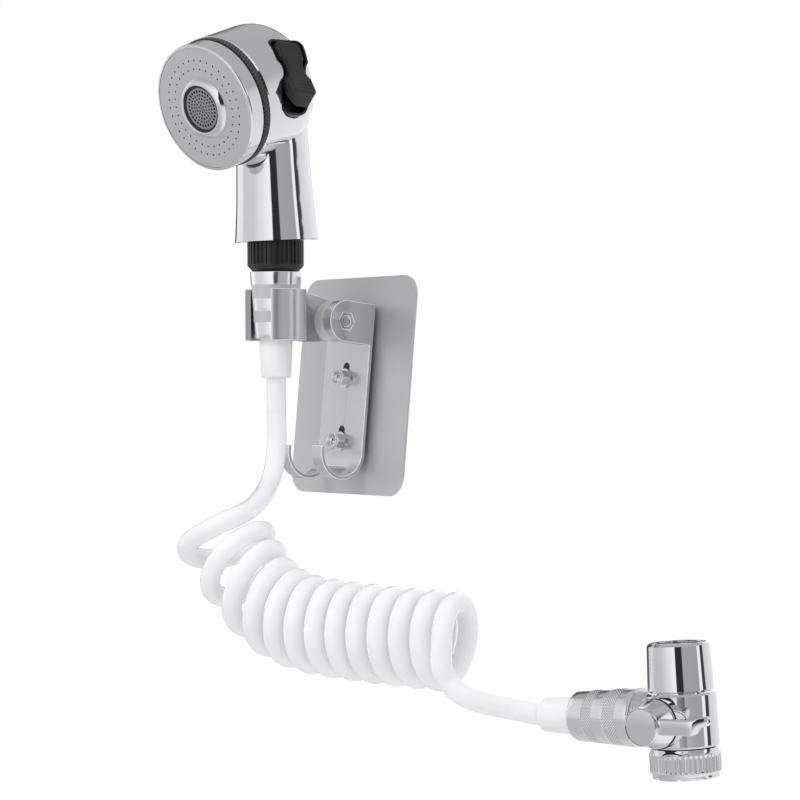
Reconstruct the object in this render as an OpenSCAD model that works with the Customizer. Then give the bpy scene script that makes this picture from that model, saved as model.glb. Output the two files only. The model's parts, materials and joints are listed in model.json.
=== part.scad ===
// Handheld basin sprayer for washing pets: handset on a coiled hose, a tilting
// clip holder on an adhesive wall plate, and a diverter for the tap.
// The wall is the plane Y = 0 and the object stands in front of it, at -Y.

/* [Wall plate] */
// Width of the steel wall plate
plate_w = 84; // [70:1:110]
// Height of the steel wall plate
plate_h = 105; // [100:1:130]
// Thickness of the steel wall plate
plate_t = 1.2; // [0.8:0.1:2]
// Corner radius of the steel wall plate
plate_r = 10; // [4:1:16]
// Thickness of the adhesive pad behind the plate
pad_t = 0.8; // [0.5:0.1:1.5]
// How far the pad stays inside the edge of the plate
pad_inset = 1.5; // [0.5:0.5:6]

/* [Bracket] */
// Width of the bracket strip
strip_w = 33; // [30:1:40]
// Thickness of the bracket strip
strip_t = 1.8; // [1.5:0.1:2.5]
// Gap between the plate and the strip
stand_off = 2.8; // [1.5:0.1:5]
// Outer radius of the two J hooks
hook_r = 13.1; // [10:0.1:16]
// Width of each J hook
hook_w = 7.6; // [5:0.1:9]
// How far the tip of a hook rises above the middle of its bend
hook_tip = 2; // [0.5:0.5:8]
// Height of the middle of the hook bends
hook_z = -33.3; // [-36:0.1:-33]
// Angle of the bend over which the two hooks are still one sheet
hook_web = 34; // [10:1:50]
// Height of the upper stud
stud_top_z = 3; // [-4:0.5:6]
// Height of the lower stud
stud_low_z = -27.5; // [-28:0.5:-20]
// Diameter of the threaded studs
stud_d = 4; // [3:0.5:5]
// Length of the slots above the studs
slot_len = 5.3; // [2:0.1:8]
// Play of a stud in its slot, all round
slot_play = 0.3; // [0.1:0.05:0.5]
// Thickness of the washers under the cap nuts
washer_t = 0.8; // [0.5:0.1:1.2]
// Width across the flats of the cap nuts
cap_nut_af = 7; // [6:0.5:9]
// Length of the cap nuts with their domes
cap_nut_len = 7.5; // [7:0.5:10]

/* [Holder] */
// Radius of the ear that carries the pivot
ear_r = 9.8; // [9:0.1:12]
// Thickness of the ear
ear_t = 5.8; // [5.6:0.1:8]
// How far the pivot stands in front of the wall
pivot_out = 21.8; // [19:0.1:26]
// Height of the pivot
pivot_z = 28.6; // [24:0.1:34]
// Forward lean of the holder as it stands
holder_lean = 6; // [0:0.5:10]
// Diameter of the pivot bolt
bolt_d = 5; // [4:0.5:6]
// Running clearance round the pivot bolt
bolt_play = 0.05; // [0.03:0.01:0.1]
// Width across the flats of the pivot nut
pivot_nut_af = 8; // [7:0.5:10]
// Height of the pivot nut
pivot_nut_h = 4; // [3:0.1:4.5]
// Play of the nut in its pocket
nut_play = 0.1; // [0.05:0.05:0.2]
// Length of the plastic spacer on the pivot
spacer_len = 5.1; // [3:0.1:8]
// Thickness of the friction washer on the pivot
friction_t = 1.5; // [0.8:0.1:2.5]
// Thickness of the holder arm
arm_t = 2.2; // [1.8:0.1:3]
// Distance from the pivot to the middle of the clip
clip_reach = 31.8; // [30:0.1:40]
// Height of the clip ring
clip_h = 24; // [18:0.5:26]
// Wall of the clip ring
clip_t = 2.5; // [1.8:0.1:3]
// How far the clip ring rises above the pivot
clip_rise = 14.7; // [12:0.1:16]
// Angle of the mouth of the clip
mouth_angle = 72; // [60:1:90]
// Gap between the hose nut and the top edge of the clip
seat_gap = 0.3; // [0.2:0.05:0.5]

/* [Hose fittings] */
// Wide radius of the conical hose nuts
nut_wide_r = 12; // [11.8:0.1:13]
// Narrow radius of the conical hose nuts
nut_narrow_r = 10.2; // [9.8:0.1:11]
// Length of the hose nuts
nut_len = 31.5; // [28:0.5:36]
// Radius of the male threads that the hose nuts take
thread_r = 10.2; // [9.8:0.1:10.4]
// Length of those male threads
thread_len = 9.5; // [7:0.5:11]
// Gap between a hose nut and its male thread
thread_gap = 0.15; // [0.1:0.05:0.3]
// How far the wide end of the upper hose nut rises above the pivot
nut_rise = 22.9; // [20:0.1:26]
// Visible length of the white sleeves
sleeve_len = 18.2; // [14:0.1:26]
// Radius of the sleeves where they leave the nuts
sleeve_r = 7.7; // [6.6:0.1:8]
// Radius of the sleeves at their hose end
sleeve_end_r = 6.8; // [5.4:0.1:7]
// Outer diameter of the hose
hose_d = 9; // [7:0.1:9.2]
// Wall of the hose
hose_wall = 1.5; // [1:0.1:2]
// Length of hose below the upper sleeve that follows the lift of the handset
neck_len = 16; // [12:1:20]

/* [Coil] */
// Radius of the middle line of the coil
coil_r = 17.1; // [16:0.1:17.2]
// Advance of one turn
coil_step = 10.4; // [10.35:0.01:11]
// How far the coil drops from its first turn
coil_drop = 26.5; // [20:0.5:28]
// Length over which the coil levels out
coil_level = 23.5; // [22:0.5:28]
// Lean of the first turn
coil_lean = 42; // [30:1:44]
// Length over which the turns stand up
coil_relax = 21; // [18:0.5:24]
// Way along which the coil lies, measured from the wall
coil_heading = 21; // [20.8:0.1:21.2]

/* [Handset] */
// How far the head is turned from square
head_turn = 7; // [0:1:15]
// Droop of the spray face
head_droop = 20; // [15:1:25]
// Height of the middle of the head above the hose nut
head_rise = 89.1; // [84:0.1:94]
// How far the spray face stands in front of the handle line
face_reach = 48.1; // [46:0.1:52]
// Radius of the drum of the head
drum_r = 30; // [29.4:0.1:31]
// Radius of the face cap
cap_r = 29.4; // [29:0.1:31]
// Depth of the head from the face to the back
drum_depth = 50.5; // [49:0.5:54]
// Rounding of the back edge of the drum
drum_round = 15; // [8:0.5:18]
// Depth of the face cap
cap_depth = 8.4; // [7:0.1:10]
// Width of the black grip ring
ring_w = 3.8; // [3:0.1:5]
// Wall of the head and the handle
shell_t = 2.2; // [1.6:0.1:2.6]
// Radius of the foot of the handle
foot_r = 19.5; // [18.8:0.1:21]
// Radius of the handle under the head
grip_r = 16.6; // [15.8:0.1:17.4]
// Forward lean of the handle
grip_lean = 3.5; // [0:0.5:5]
// How far the foot of the handle is set back
foot_back = 0.8; // [0:0.1:1.5]
// Height of the foot of the handle above the hose nut
foot_rise = 14.6; // [12:0.1:16]

/* [Spray face] */
// Thickness of the spray plate
spray_t = 1.6; // [1.2:0.1:2.4]
// Diameter of the spray holes
spray_hole_d = 0.9; // [0.8:0.1:1.4]
// Holes in the outer circle
outer_holes = 36; // [24:1:40]
// Radius of the outer circle of holes
outer_holes_r = 22; // [21:0.1:24]
// Holes in the inner circle
inner_holes = 30; // [20:1:34]
// Radius of the inner circle of holes
inner_holes_r = 18; // [16.5:0.1:19]
// Outer radius of the raised ring round the aerator
boss_r = 14; // [12.6:0.1:14.5]
// Radius of the opening of the aerator
aerator_r = 10.8; // [9:0.1:11.2]
// How far the raised ring stands out of the face
boss_out = 1.3; // [0.5:0.1:2.5]
// Depth of the aerator housing
aerator_depth = 12; // [9:0.5:14]
// Diameter of the holes of the aerator screen
screen_hole_d = 1.1; // [0.8:0.1:1.2]

/* [Rocker] */
// Half length of the rocker
rocker_half = 13.8; // [12:0.1:14]
// Half width of the rocker at its ends
rocker_half_w = 7.4; // [6.5:0.1:7.6]
// Half width of the rocker at its waist
rocker_waist = 5.2; // [4.8:0.1:5.8]
// How far the rocker stands out from its pin
rocker_out = 7; // [6:0.1:8]
// Tilt of the rocker to either side
rocker_tilt = 12.5; // [8:0.5:12.5]
// Diameter of the rocker pin
pin_d = 2.5; // [2:0.1:3]
// Running clearance of small pins
pin_play = 0.05; // [0.03:0.01:0.1]
// Height of the rocker pin above the hose nut
rocker_rise = 88; // [87:0.1:89]

/* [Diverter] */
// How far right of the wall plate the diverter stands
tap_right = 240; // [238:0.5:242]
// How far in front of the wall the diverter stands
tap_out = 17.5; // [17:0.5:20]
// How far below the wall plate's middle the diverter stands
tap_below = 134; // [132:0.5:136]
// Radius of the diverter body
body_r = 13.9; // [13.5:0.1:16]
// Height of the diverter body
body_h = 21.2; // [20:0.1:24]
// Height of the swivel nut at the inlet
inlet_h = 19.2; // [18:0.1:24]
// Radius of the inlet thread
inlet_r = 11; // [10.6:0.1:11.3]
// Depth of the inlet thread
inlet_depth = 9; // [7:0.5:11]
// Outer radius of the swivel nut at its foot
inlet_foot_r = 13.1; // [12.8:0.1:14]
// Outer radius of the swivel nut at its top
inlet_top_r = 12.4; // [12.2:0.1:13.6]
// Height of the ring at the outlet
outlet_h = 12; // [11:0.1:14]
// Radius of the ring at the outlet
outlet_r = 14.1; // [13.8:0.1:15]
// Radius of the opening of the outlet
outlet_bore_r = 9; // [8:0.1:9.6]
// How far the lever hub reaches in front of the body axis
hub_reach = 28.4; // [27:0.1:34]
// Radius of the front of the lever hub
hub_r = 7.4; // [6:0.1:8]
// Radius of the foot of the lever hub
hub_foot_r = 9.6; // [9:0.1:10.4]
// Length of the lever from its hub
lever_len = 27; // [25:0.5:32]
// Radius of the valve stem
stem_r = 4; // [3.6:0.1:4.4]
// Running clearance of the valve plug and its stem
valve_play = 0.08; // [0.04:0.01:0.1]

/* [Hidden] */

eps = 0.01;
fine = 72;

// places along the depth of the wall fitting, all measured from the wall
plate_front = pad_t + plate_t;
strip_back = plate_front + stand_off;
strip_front = strip_back + strip_t;
slot_w = stud_d + 2 * slot_play;
stand_off_wall = 2.4;
stud_washer_r = 4.6;

// places along the pivot
ear_right = strip_w / 2;
ear_left = ear_right - ear_t;
friction_left = ear_left - friction_t;
spacer_left = friction_left - spacer_len;
arm_x = spacer_left - arm_t / 2;
bolt_head_h = 2.8;
bolt_head_r = bolt_d * 0.95;
bolt_len = arm_t + spacer_len + friction_t + ear_t - 1;

// hose nut and clip
function nut_radius(z) = nut_wide_r + (nut_wide_r - nut_narrow_r) * z / nut_len;
clip_bore_r = nut_radius(clip_rise - nut_rise) + seat_gap;
clip_r = clip_bore_r + clip_t;
washer_len = 2;
collar_len = 2.5;
lip_len = 2;
collar_r = 8.9;
collar_low = thread_len + washer_len + collar_len;
hose_r = hose_d / 2;
hose_bore_r = hose_r - hose_wall;
barb_bore_r = 2;
fit_gap = 0.1;

// handset, measured along the head from the face backwards
ring_at = cap_depth + 0.2;
drum_at = ring_at + ring_w + 0.2;
core_r = 11;
neck_r = 7.7;
neck_top = 34;
core_top = 76;
grip_dome_z = 61;
neck_bore_r = 8.5;
elbow_r = 6.5;
elbow_bore_r = 4.6;
elbow_low = 19.6;
elbow_len = 27;
chamber_len = 24;
clear_cut = 60;
shoulder_z = 17;
oring_z = 26;
clip_ring_z = 31.4;

// rocker
rocker_x = 24.7;
rocker_y = -16;
rocker_neutral = 13.5;
rocker_gap = 0.9;
corner_r = 2.6;
pocket_foot_r = 6.5;
notch_r = 8;
housing_t = 1;
housing_floor = -5.5;
pocket_top = rocker_half + 1.7;
pocket_low = rocker_half + 4.4;
groove_half = 4.4;
groove_w = 0.4;
groove_depth = 0.35;
tail_reach = 9.5;
tail_t = 1.8;
plunger_x = -11.2;
plunger_r = 2.77;
plunger_gap = 1.25;
plunger_shift = -(tail_reach - 0.45) * sin(rocker_tilt);
barrel_half = 12.5;
barrel_wall = 1.2;

// diverter
tap_place = [tap_right, -tap_out, -tap_below];
tap_lean = [6, -4.9, 7];
tap_neck = 5.1;
tap_nut_at = body_r + tap_neck;
boss_front = 17.3;
plug_r = 7;
flow_r = 5;
boss_out_r = 9.2;
top_bore_r = 7;
low_bore_r = 8;
outlet_thread = 7;
outlet_thread_r = 10.4;

// frames: each places what it holds
module at_pivot() translate([0, -pivot_out, pivot_z]) rotate([holder_lean, 0, 0]) children();
module at_clip() at_pivot() translate([arm_x, -clip_reach, 0]) children();
module at_nut() at_clip() translate([0, 0, nut_rise]) children();
module at_handset() at_nut() rotate([0, 0, head_turn]) children();
module at_head() at_handset() translate([0, 0, head_rise]) rotate([head_droop, 0, 0])
    translate([0, -face_reach, 0]) rotate([-90, 0, 0]) children();
module at_rocker(turn) at_handset() translate([rocker_x, rocker_y, rocker_rise])
    rotate([0, -rocker_neutral - turn, 0]) children();
module at_tap() translate(tap_place) rotate(tap_lean) children();
module at_tap_nut() at_tap() translate([-tap_nut_at, 0, 0]) rotate([0, 90, 0]) children();
module at_stem() at_tap() rotate([90, 0, 0]) children();

// general shapes
function arc(cx, cy, r, from, to, n) =
    [for (i = [0 : n]) let (a = from + (to - from) * i / n) [cx + r * cos(a), cy + r * sin(a)]];
module tube(outer, inner, low, high)
    difference() {
        translate([0, 0, low]) cylinder(r = outer, h = high - low, $fn = fine);
        translate([0, 0, low - 1]) cylinder(r = inner, h = high - low + 2, $fn = fine);
    }
module spun(points) rotate_extrude($fn = fine) polygon(points);
module rounded_plate(w, h, r)
    union() {
        square([w - 2 * r, h], center = true);
        square([w, h - 2 * r], center = true);
        for (x = [-1, 1], z = [-1, 1])
            translate([x * (w / 2 - r), z * (h / 2 - r)]) circle(r = r, $fn = fine);
    }
// a flat shape drawn in X and Z, stood upright between two distances from the wall
module upright(near, far)
    translate([0, -near, 0]) rotate([90, 0, 0]) linear_extrude(far - near) children();
module each_stud()
    for (z = [stud_top_z, stud_low_z]) translate([0, 0, z]) rotate([90, 0, 0]) children();

// wall fitting
module adhesive_pad()
    color("whitesmoke") upright(0, pad_t)
        rounded_plate(plate_w - 2 * pad_inset, plate_h - 2 * pad_inset, plate_r - pad_inset);

module wall_plate()
    color("silver") upright(pad_t, plate_front) rounded_plate(plate_w, plate_h, plate_r);

stud_len = stand_off + strip_t + washer_t + cap_nut_len - 2;
module plate_studs()
    color("gray") each_stud() translate([0, 0, plate_front]) cylinder(d = stud_d, h = stud_len, $fn = fine);

module stand_off_rings()
    color("dimgray") each_stud() tube(slot_w / 2 + stand_off_wall, slot_w / 2, plate_front, strip_back);

module stud_washers()
    color("lightgray") each_stud()
        tube(stud_washer_r, slot_w / 2 - 0.1, strip_front, strip_front + washer_t);

module cap_nuts()
    color("silver") each_stud() translate([0, 0, strip_front + washer_t]) difference() {
        intersection() {
            cylinder(r = cap_nut_af / sqrt(3), h = cap_nut_len, $fn = 6);
            union() {
                cylinder(r = cap_nut_af, h = cap_nut_len / 2, $fn = fine);
                translate([0, 0, cap_nut_len / 2 - eps])
                    cylinder(r = cap_nut_af / 2 - 0.3, h = 1, $fn = fine);
                translate([0, 0, cap_nut_len - cap_nut_af / 2 + 0.3])
                    sphere(r = cap_nut_af / 2 - 0.3, $fn = fine);
            }
        }
        translate([0, 0, -1]) cylinder(d = stud_d, h = cap_nut_len - 1, $fn = fine);
    }

module stud_slot(z)
    for (s = [0, 1]) translate([0, z + s * slot_len]) circle(d = slot_w, $fn = fine);

module strip_outline()
    difference() {
        translate([-strip_w / 2, hook_z]) square([strip_w, pivot_z + ear_r - hook_z]);
        for (z = [stud_top_z, stud_low_z]) {
            stud_slot(z);
            translate([-slot_w / 2, z]) square([slot_w, slot_len]);
        }
    }

module hook_profile()
    translate([-strip_back - hook_r, hook_z]) difference() {
        union() {
            circle(r = hook_r, $fn = fine);
            translate([-hook_r, 0]) square([strip_t, hook_tip]);
        }
        circle(r = hook_r - strip_t, $fn = fine);
        translate([-hook_r + strip_t, 0]) square([2 * hook_r, hook_r + 1]);
        translate([-hook_r - 1, hook_tip]) square([2 * hook_r + 2, hook_r + 1]);
    }

// space between the hooks: all of the bend but its first part, seen along X
module hook_gap()
    translate([-strip_back - hook_r, hook_z]) polygon([
        [0, 0], [2 * hook_r * cos(hook_web), -2 * hook_r * sin(hook_web)], [2 * hook_r, -3 * hook_r],
        [-2 * hook_r, -3 * hook_r], [-2 * hook_r, 2 * hook_r], [0, 2 * hook_r]
    ]);

module bracket()
    color("gainsboro") union() {
        upright(strip_back, strip_front) strip_outline();
        translate([-strip_w / 2, 0, 0]) rotate([90, 0, 90]) difference() {
            linear_extrude(strip_w) hook_profile();
            translate([0, 0, hook_w]) linear_extrude(strip_w - 2 * hook_w) hook_gap();
        }
        difference() {
            translate([ear_left, 0, 0]) rotate([90, 0, 90]) linear_extrude(ear_t) union() {
                translate([-pivot_out, pivot_z]) circle(r = ear_r, $fn = fine);
                translate([-pivot_out, pivot_z - ear_r]) square([pivot_out - strip_back, 2 * ear_r]);
            }
            translate([ear_left - 1, -pivot_out, pivot_z]) rotate([0, 90, 0])
                cylinder(r = bolt_d / 2 + bolt_play, h = ear_t + 2, $fn = fine);
            translate([ear_right - pivot_nut_h - 0.3, -pivot_out, pivot_z]) rotate([0, 90, 0])
                rotate([0, 0, 30])
                cylinder(r = (pivot_nut_af + 2 * nut_play) / sqrt(3), h = pivot_nut_h + 1, $fn = 6);
        }
    }

// pivot of the holder, along X through the ear
module along_pivot(x) translate([x, -pivot_out, pivot_z]) rotate([0, 90, 0]) children();

module pivot_bolt()
    color("silver") along_pivot(spacer_left - arm_t) difference() {
        union() {
            translate([0, 0, -bolt_head_h])
                cylinder(r1 = bolt_head_r * 0.7, r2 = bolt_head_r, h = bolt_head_h * 0.6, $fn = fine);
            translate([0, 0, -bolt_head_h * 0.4])
                cylinder(r = bolt_head_r, h = bolt_head_h * 0.4, $fn = fine);
            cylinder(d = bolt_d, h = bolt_len, $fn = fine);
        }
        translate([0, 0, -bolt_head_h - 1]) cylinder(r = 1.73, h = 2.8, $fn = 6);
    }

module pivot_nut()
    color("silver") along_pivot(ear_right - pivot_nut_h - 0.3) difference() {
        rotate([0, 0, 30]) cylinder(r = pivot_nut_af / sqrt(3), h = pivot_nut_h, $fn = 6);
        translate([0, 0, -1]) cylinder(d = bolt_d, h = pivot_nut_h + 2, $fn = fine);
    }

module pivot_spacer()
    color("gainsboro") along_pivot(spacer_left) tube(ear_r, bolt_d / 2 + bolt_play, 0, spacer_len);

module friction_washer()
    color("white") along_pivot(friction_left) tube(ear_r - 0.4, bolt_d / 2 + bolt_play, 0, friction_t);

// the arm narrows from the height of the ring to its round end on the pivot
arm_back = -clip_reach + clip_r - clip_t / 2;
arm_span = norm([arm_back, clip_rise]);
arm_tangent = atan2(clip_rise, arm_back) - acos(ear_r / arm_span);
module arm_profile()
    union() {
        circle(r = ear_r, $fn = fine);
        polygon([[arm_back, clip_rise - clip_h], [arm_back, clip_rise],
                 [ear_r * cos(arm_tangent), ear_r * sin(arm_tangent)], [0, -ear_r]]);
    }

module holder_clip()
    color("gainsboro") union() {
        at_pivot() translate([arm_x - arm_t / 2, 0, 0]) difference() {
            rotate([90, 0, 90]) linear_extrude(arm_t) arm_profile();
            translate([-1, 0, 0]) rotate([0, 90, 0])
                cylinder(r = bolt_d / 2 + bolt_play, h = arm_t + 2, $fn = fine);
        }
        at_clip() rotate([0, 0, head_turn - 90 + mouth_angle / 2])
            rotate_extrude(angle = 360 - mouth_angle, $fn = fine)
            translate([clip_bore_r, clip_rise - clip_h]) square([clip_t, clip_h]);
    }

// fittings of the hose: the wide end of the nut is at height 0 and the hose leaves downwards
module hose_nut()
    color("silver") difference() {
        spun([[0, 0], [nut_wide_r - 0.6, 0], [nut_wide_r, -0.6], [nut_radius(0.6 - nut_len), 0.6 - nut_len],
              [nut_narrow_r - 0.6, -nut_len], [0, -nut_len]]);
        translate([0, 0, -thread_len - washer_len])
            cylinder(r = thread_r + thread_gap, h = thread_len + washer_len + 1, $fn = fine);
        translate([0, 0, lip_len - nut_len])
            cylinder(r = collar_r + fit_gap, h = nut_len - lip_len - thread_len - washer_len + eps,
                     $fn = fine);
        translate([0, 0, -nut_len - 1]) cylinder(r = sleeve_r + fit_gap, h = lip_len + 2, $fn = fine);
    }

module nut_washer()
    color("dimgray") tube(thread_r, 5, -thread_len - washer_len, -thread_len);

module hose_barb()
    color("goldenrod") difference() {
        union() {
            translate([0, 0, -collar_low]) cylinder(r = collar_r, h = collar_len, $fn = fine);
            translate([0, 0, -collar_low - 16]) cylinder(r = hose_bore_r - 0.05, h = 16 + eps, $fn = fine);
        }
        translate([0, 0, -collar_low - 17]) cylinder(r = barb_bore_r, h = 30, $fn = fine);
    }

module sleeve()
    color("whitesmoke") difference() {
        spun([[0, -collar_low], [collar_r - 0.4, -collar_low],
              [collar_r - 0.4, lip_len - nut_len + 0.4], [sleeve_r, lip_len - nut_len + 0.4],
              [sleeve_r, -nut_len - 2], [sleeve_end_r + 0.15, 0.8 - nut_len - sleeve_len],
              [sleeve_end_r - 0.6, -nut_len - sleeve_len], [0, -nut_len - sleeve_len]]);
        translate([0, 0, -nut_len - sleeve_len - 1])
            cylinder(r = hose_r + 0.05, h = nut_len + sleeve_len, $fn = fine);
    }

module hose_nut_upper() at_nut() hose_nut();
module nut_washer_upper() at_nut() nut_washer();
module hose_barb_upper() at_nut() hose_barb();
module sleeve_upper() at_nut() sleeve();

// the ribbed coupling turns in the foot of the handle
coupling_r = 13.2;
coupling_low_r = 10.6;
coupling_chamfer = 2.8;
ribs = 36;
rib_depth = 0.6;
rib_w = 1;
module swivel_coupling()
    color("black") at_nut() difference() {
        spun([[4.5, -thread_len], [thread_r - 0.4, -thread_len], [thread_r, -thread_len + 0.4],
              [thread_r, 0], [coupling_low_r, 0], [coupling_r, coupling_chamfer], [coupling_r, shoulder_z],
              [neck_r, shoulder_z], [neck_r, oring_z - 1], [neck_r - 1.4, oring_z - 1],
              [neck_r - 1.4, oring_z + 1], [neck_r, oring_z + 1], [neck_r, clip_ring_z],
              [neck_r - 1, clip_ring_z], [neck_r - 1, clip_ring_z + 1.2], [neck_r, clip_ring_z + 1.2],
              [neck_r, neck_top], [4.5, neck_top]]);
        for (i = [0 : ribs - 1]) rotate([0, 0, (i + 0.5) * 360 / ribs])
            translate([coupling_r - rib_depth, -rib_w / 2, coupling_chamfer + 0.5])
                cube([2, rib_w, foot_rise - coupling_chamfer - 1.2]);
    }

module coupling_oring()
    color("dimgray") at_nut() translate([0, 0, oring_z])
        rotate_extrude($fn = fine) translate([neck_r - 0.65, 0]) circle(r = 0.7, $fn = 24);

module retaining_ring()
    color("silver") at_nut() tube(neck_r + 1.2, neck_r - 0.95, clip_ring_z + 0.05, clip_ring_z + 1.1);

// handset
function grip_profile(inset, low) = concat(
    [[0, low], [foot_r - inset, low], [foot_r - 0.7 - inset, 8], [foot_r - 1.5 - inset, 18],
     [grip_r + 0.55 - inset, 35], [grip_r + 0.15 - inset, 50]],
    arc(0, grip_dome_z, grip_r - inset, 0, 90, 12));
module at_grip() at_handset() translate([0, foot_back, foot_rise]) rotate([grip_lean, 0, 0]) children();

drum_profile = concat([[0, drum_at], [drum_r - 0.5, drum_at], [drum_r, drum_at + 0.5]],
    arc(drum_r - drum_round, drum_depth - drum_round, drum_round, 0, 90, 12), [[0, drum_depth]]);
drum_bore_r = drum_r - shell_t;
drum_bore_end = drum_depth - shell_t;
drum_bore_profile = concat([[0, drum_at - 1], [drum_bore_r, drum_at - 1]],
    arc(drum_r - drum_round, drum_depth - drum_round, drum_round - shell_t, 0, 90, 12),
    [[0, drum_bore_end]]);

// a rounded upright outline, drawn in at the middle of its sides; foot_r rounds its lower corners
module waisted(top, low, half_w, waist, foot_r, grow)
    difference() {
        union() {
            for (x = [-1, 1]) translate([x * (half_w - corner_r), top - corner_r])
                circle(r = corner_r + grow, $fn = fine);
            for (x = [-1, 1]) translate([x * (half_w - foot_r), foot_r - low])
                circle(r = foot_r + grow, $fn = fine);
            translate([-half_w - grow, foot_r - low])
                square([2 * (half_w + grow), top + low - corner_r - foot_r]);
            translate([corner_r - half_w, 0]) square([2 * (half_w - corner_r), top + grow]);
            translate([foot_r - half_w, -low - grow]) square([2 * (half_w - foot_r), low + grow]);
        }
        if (waist < half_w)
            for (x = [-1, 1]) translate([x * (waist + notch_r), 0]) circle(r = notch_r - grow, $fn = fine);
    }
module pocket_outline(waist, grow)
    waisted(pocket_top, pocket_low, rocker_half_w + rocker_gap, waist + rocker_gap, pocket_foot_r, grow);
module rocker_outline(grow)
    waisted(rocker_half, rocker_half, rocker_half_w, rocker_waist, corner_r, grow);
// outline in Y and Z of the rocker frame, pushed out along X
module along_x(low, high)
    translate([low, 0, 0]) rotate([90, 0, 90]) linear_extrude(high - low) children();

module head_shell()
    color("lightsteelblue") difference() {
        union() {
            at_head() spun(drum_profile);
            at_grip() spun(grip_profile(0, 0));
        }
        at_head() spun(drum_bore_profile);
        at_grip() spun(grip_profile(shell_t, -1));
        at_rocker(0) along_x(0, 14) pocket_outline(rocker_waist, housing_t);
        at_rocker(0) along_x(housing_floor - 3, 1) pocket_outline(rocker_half_w, housing_t + 0.2);
    }

module water_core()
    color("whitesmoke") at_handset() difference() {
        union() {
            translate([0, 0, shoulder_z + 1])
                cylinder(r = core_r, h = neck_top + 4 - shoulder_z - 1, $fn = fine);
            translate([0, 0, shoulder_z + 4]) cylinder(r = core_r + 4.8, h = 2, $fn = fine);
            translate([0, 0, neck_top]) cylinder(r = neck_bore_r, h = core_top - neck_top - 12, $fn = fine);
        }
        translate([0, 0, shoulder_z])
            cylinder(r = neck_r + fit_gap, h = clip_ring_z - shoulder_z - 0.4, $fn = fine);
        translate([0, 0, clip_ring_z - 0.6])
            cylinder(r = neck_r + 1.6, h = neck_top - clip_ring_z + 1.4, $fn = fine);
        translate([0, 0, neck_top]) cylinder(r = flow_r, h = core_top, $fn = fine);
        translate([0, 0, core_top - elbow_low - 0.4])
            cylinder(r = elbow_r + fit_gap, h = elbow_low, $fn = fine);
    }

// the body behind the spray face takes the water from the core and passes it to the face
chamber_at = drum_at + 4;
chamber_r = 12;
module valve_body()
    color("whitesmoke") difference() {
        union() {
            at_head() translate([0, 0, chamber_at]) cylinder(r = drum_bore_r - 0.3, h = 2.5, $fn = fine);
            at_head() translate([0, 0, chamber_at]) cylinder(r = chamber_r, h = chamber_len, $fn = fine);
            at_handset() translate([0, 0, core_top - elbow_low])
                cylinder(r = elbow_r, h = elbow_len, $fn = fine);
            at_rocker(0) translate([plunger_x, 0, -barrel_half])
                cylinder(r = plunger_r + barrel_wall, h = 2 * barrel_half, $fn = fine);
        }
        at_head() translate([0, 0, chamber_at - 1])
            cylinder(r = chamber_r - 2, h = chamber_len - 1, $fn = fine);
        at_handset() translate([0, 0, core_top - elbow_low - 1.4])
            cylinder(r = elbow_bore_r, h = elbow_len + 1, $fn = fine);
        at_rocker(0) translate([plunger_x, 0, -barrel_half - 1])
            cylinder(r = plunger_r + valve_play, h = 2 * barrel_half + 2, $fn = fine);
        at_rocker(0) translate([plunger_x, -2, -4.5]) cube([6, 4, 9]);
    }

ring_grooves = 60;
module grip_ring()
    color("black") at_head() difference() {
        translate([0, 0, ring_at]) cylinder(r = drum_r - 0.4, h = ring_w, $fn = fine);
        translate([0, 0, ring_at - 1]) cylinder(r = drum_bore_r - 2, h = ring_w + 2, $fn = fine);
        for (i = [0 : ring_grooves - 1]) rotate([0, 0, (i + 0.5) * 360 / ring_grooves])
            translate([drum_r - 1, -0.5, ring_at + 0.6]) cube([2, 1, ring_w - 1.2]);
    }

module face_gasket()
    color("dimgray") at_head() tube(drum_bore_r - 0.3, drum_bore_r - 1.8, drum_at + 0.2, chamber_at - 0.2);

face_seat = spray_t + 0.3;
module face_cap()
    color("lightsteelblue") at_head() difference() {
        spun(concat([[0, 0], [cap_r - 1.2, 0]], arc(cap_r - 1.2, 1.2, 1.2, -90, 0, 6),
                    [[cap_r, cap_depth - 0.4], [cap_r - 0.4, cap_depth], [0, cap_depth]]));
        translate([0, 0, -1]) cylinder(r = cap_r - 1.4, h = face_seat + 1, $fn = fine);
        translate([0, 0, -1]) cylinder(r = cap_r - 3.6, h = cap_depth + 2, $fn = fine);
    }

module spray_holes(count, ring_r)
    for (i = [0 : count - 1]) rotate([0, 0, (i + 0.5) * 360 / count]) translate([ring_r, 0, -1])
        cylinder(d = spray_hole_d, h = spray_t + 3, $fn = 16);
module spray_plate()
    color("gainsboro") at_head() difference() {
        translate([0, 0, 0.2]) cylinder(r = cap_r - 1.5, h = spray_t, $fn = fine);
        translate([0, 0, -1]) cylinder(r = boss_r - 1.2, h = spray_t + 3, $fn = fine);
        spray_holes(outer_holes, outer_holes_r);
        spray_holes(inner_holes, inner_holes_r);
    }

boss_back = 9;
aerator_at = -0.2;
module aerator_ring()
    color("lightsteelblue") at_head() difference() {
        union() {
            spun(concat(arc(boss_r - 1.4, 0, boss_out, 0, -90, 6),
                        [[0, -boss_out], [0, 0.2], [boss_r - 0.1, 0.2], [boss_r - 0.1, 0]]));
            cylinder(r = boss_r - 1.3, h = boss_back, $fn = fine);
        }
        translate([0, 0, -5]) cylinder(r = aerator_r, h = boss_back + 10, $fn = fine);
    }

module aerator_housing()
    color("dimgray") at_head() difference() {
        translate([0, 0, aerator_at]) cylinder(r = aerator_r - 0.1, h = aerator_depth, $fn = fine);
        translate([0, 0, aerator_at - 1]) cylinder(r = aerator_r - 1.1, h = aerator_depth - 0.2, $fn = fine);
        for (i = [0 : 5]) rotate([0, 0, i * 60]) translate([5.5, 0, 5]) cylinder(d = 2.4, h = 20, $fn = 24);
    }

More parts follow.
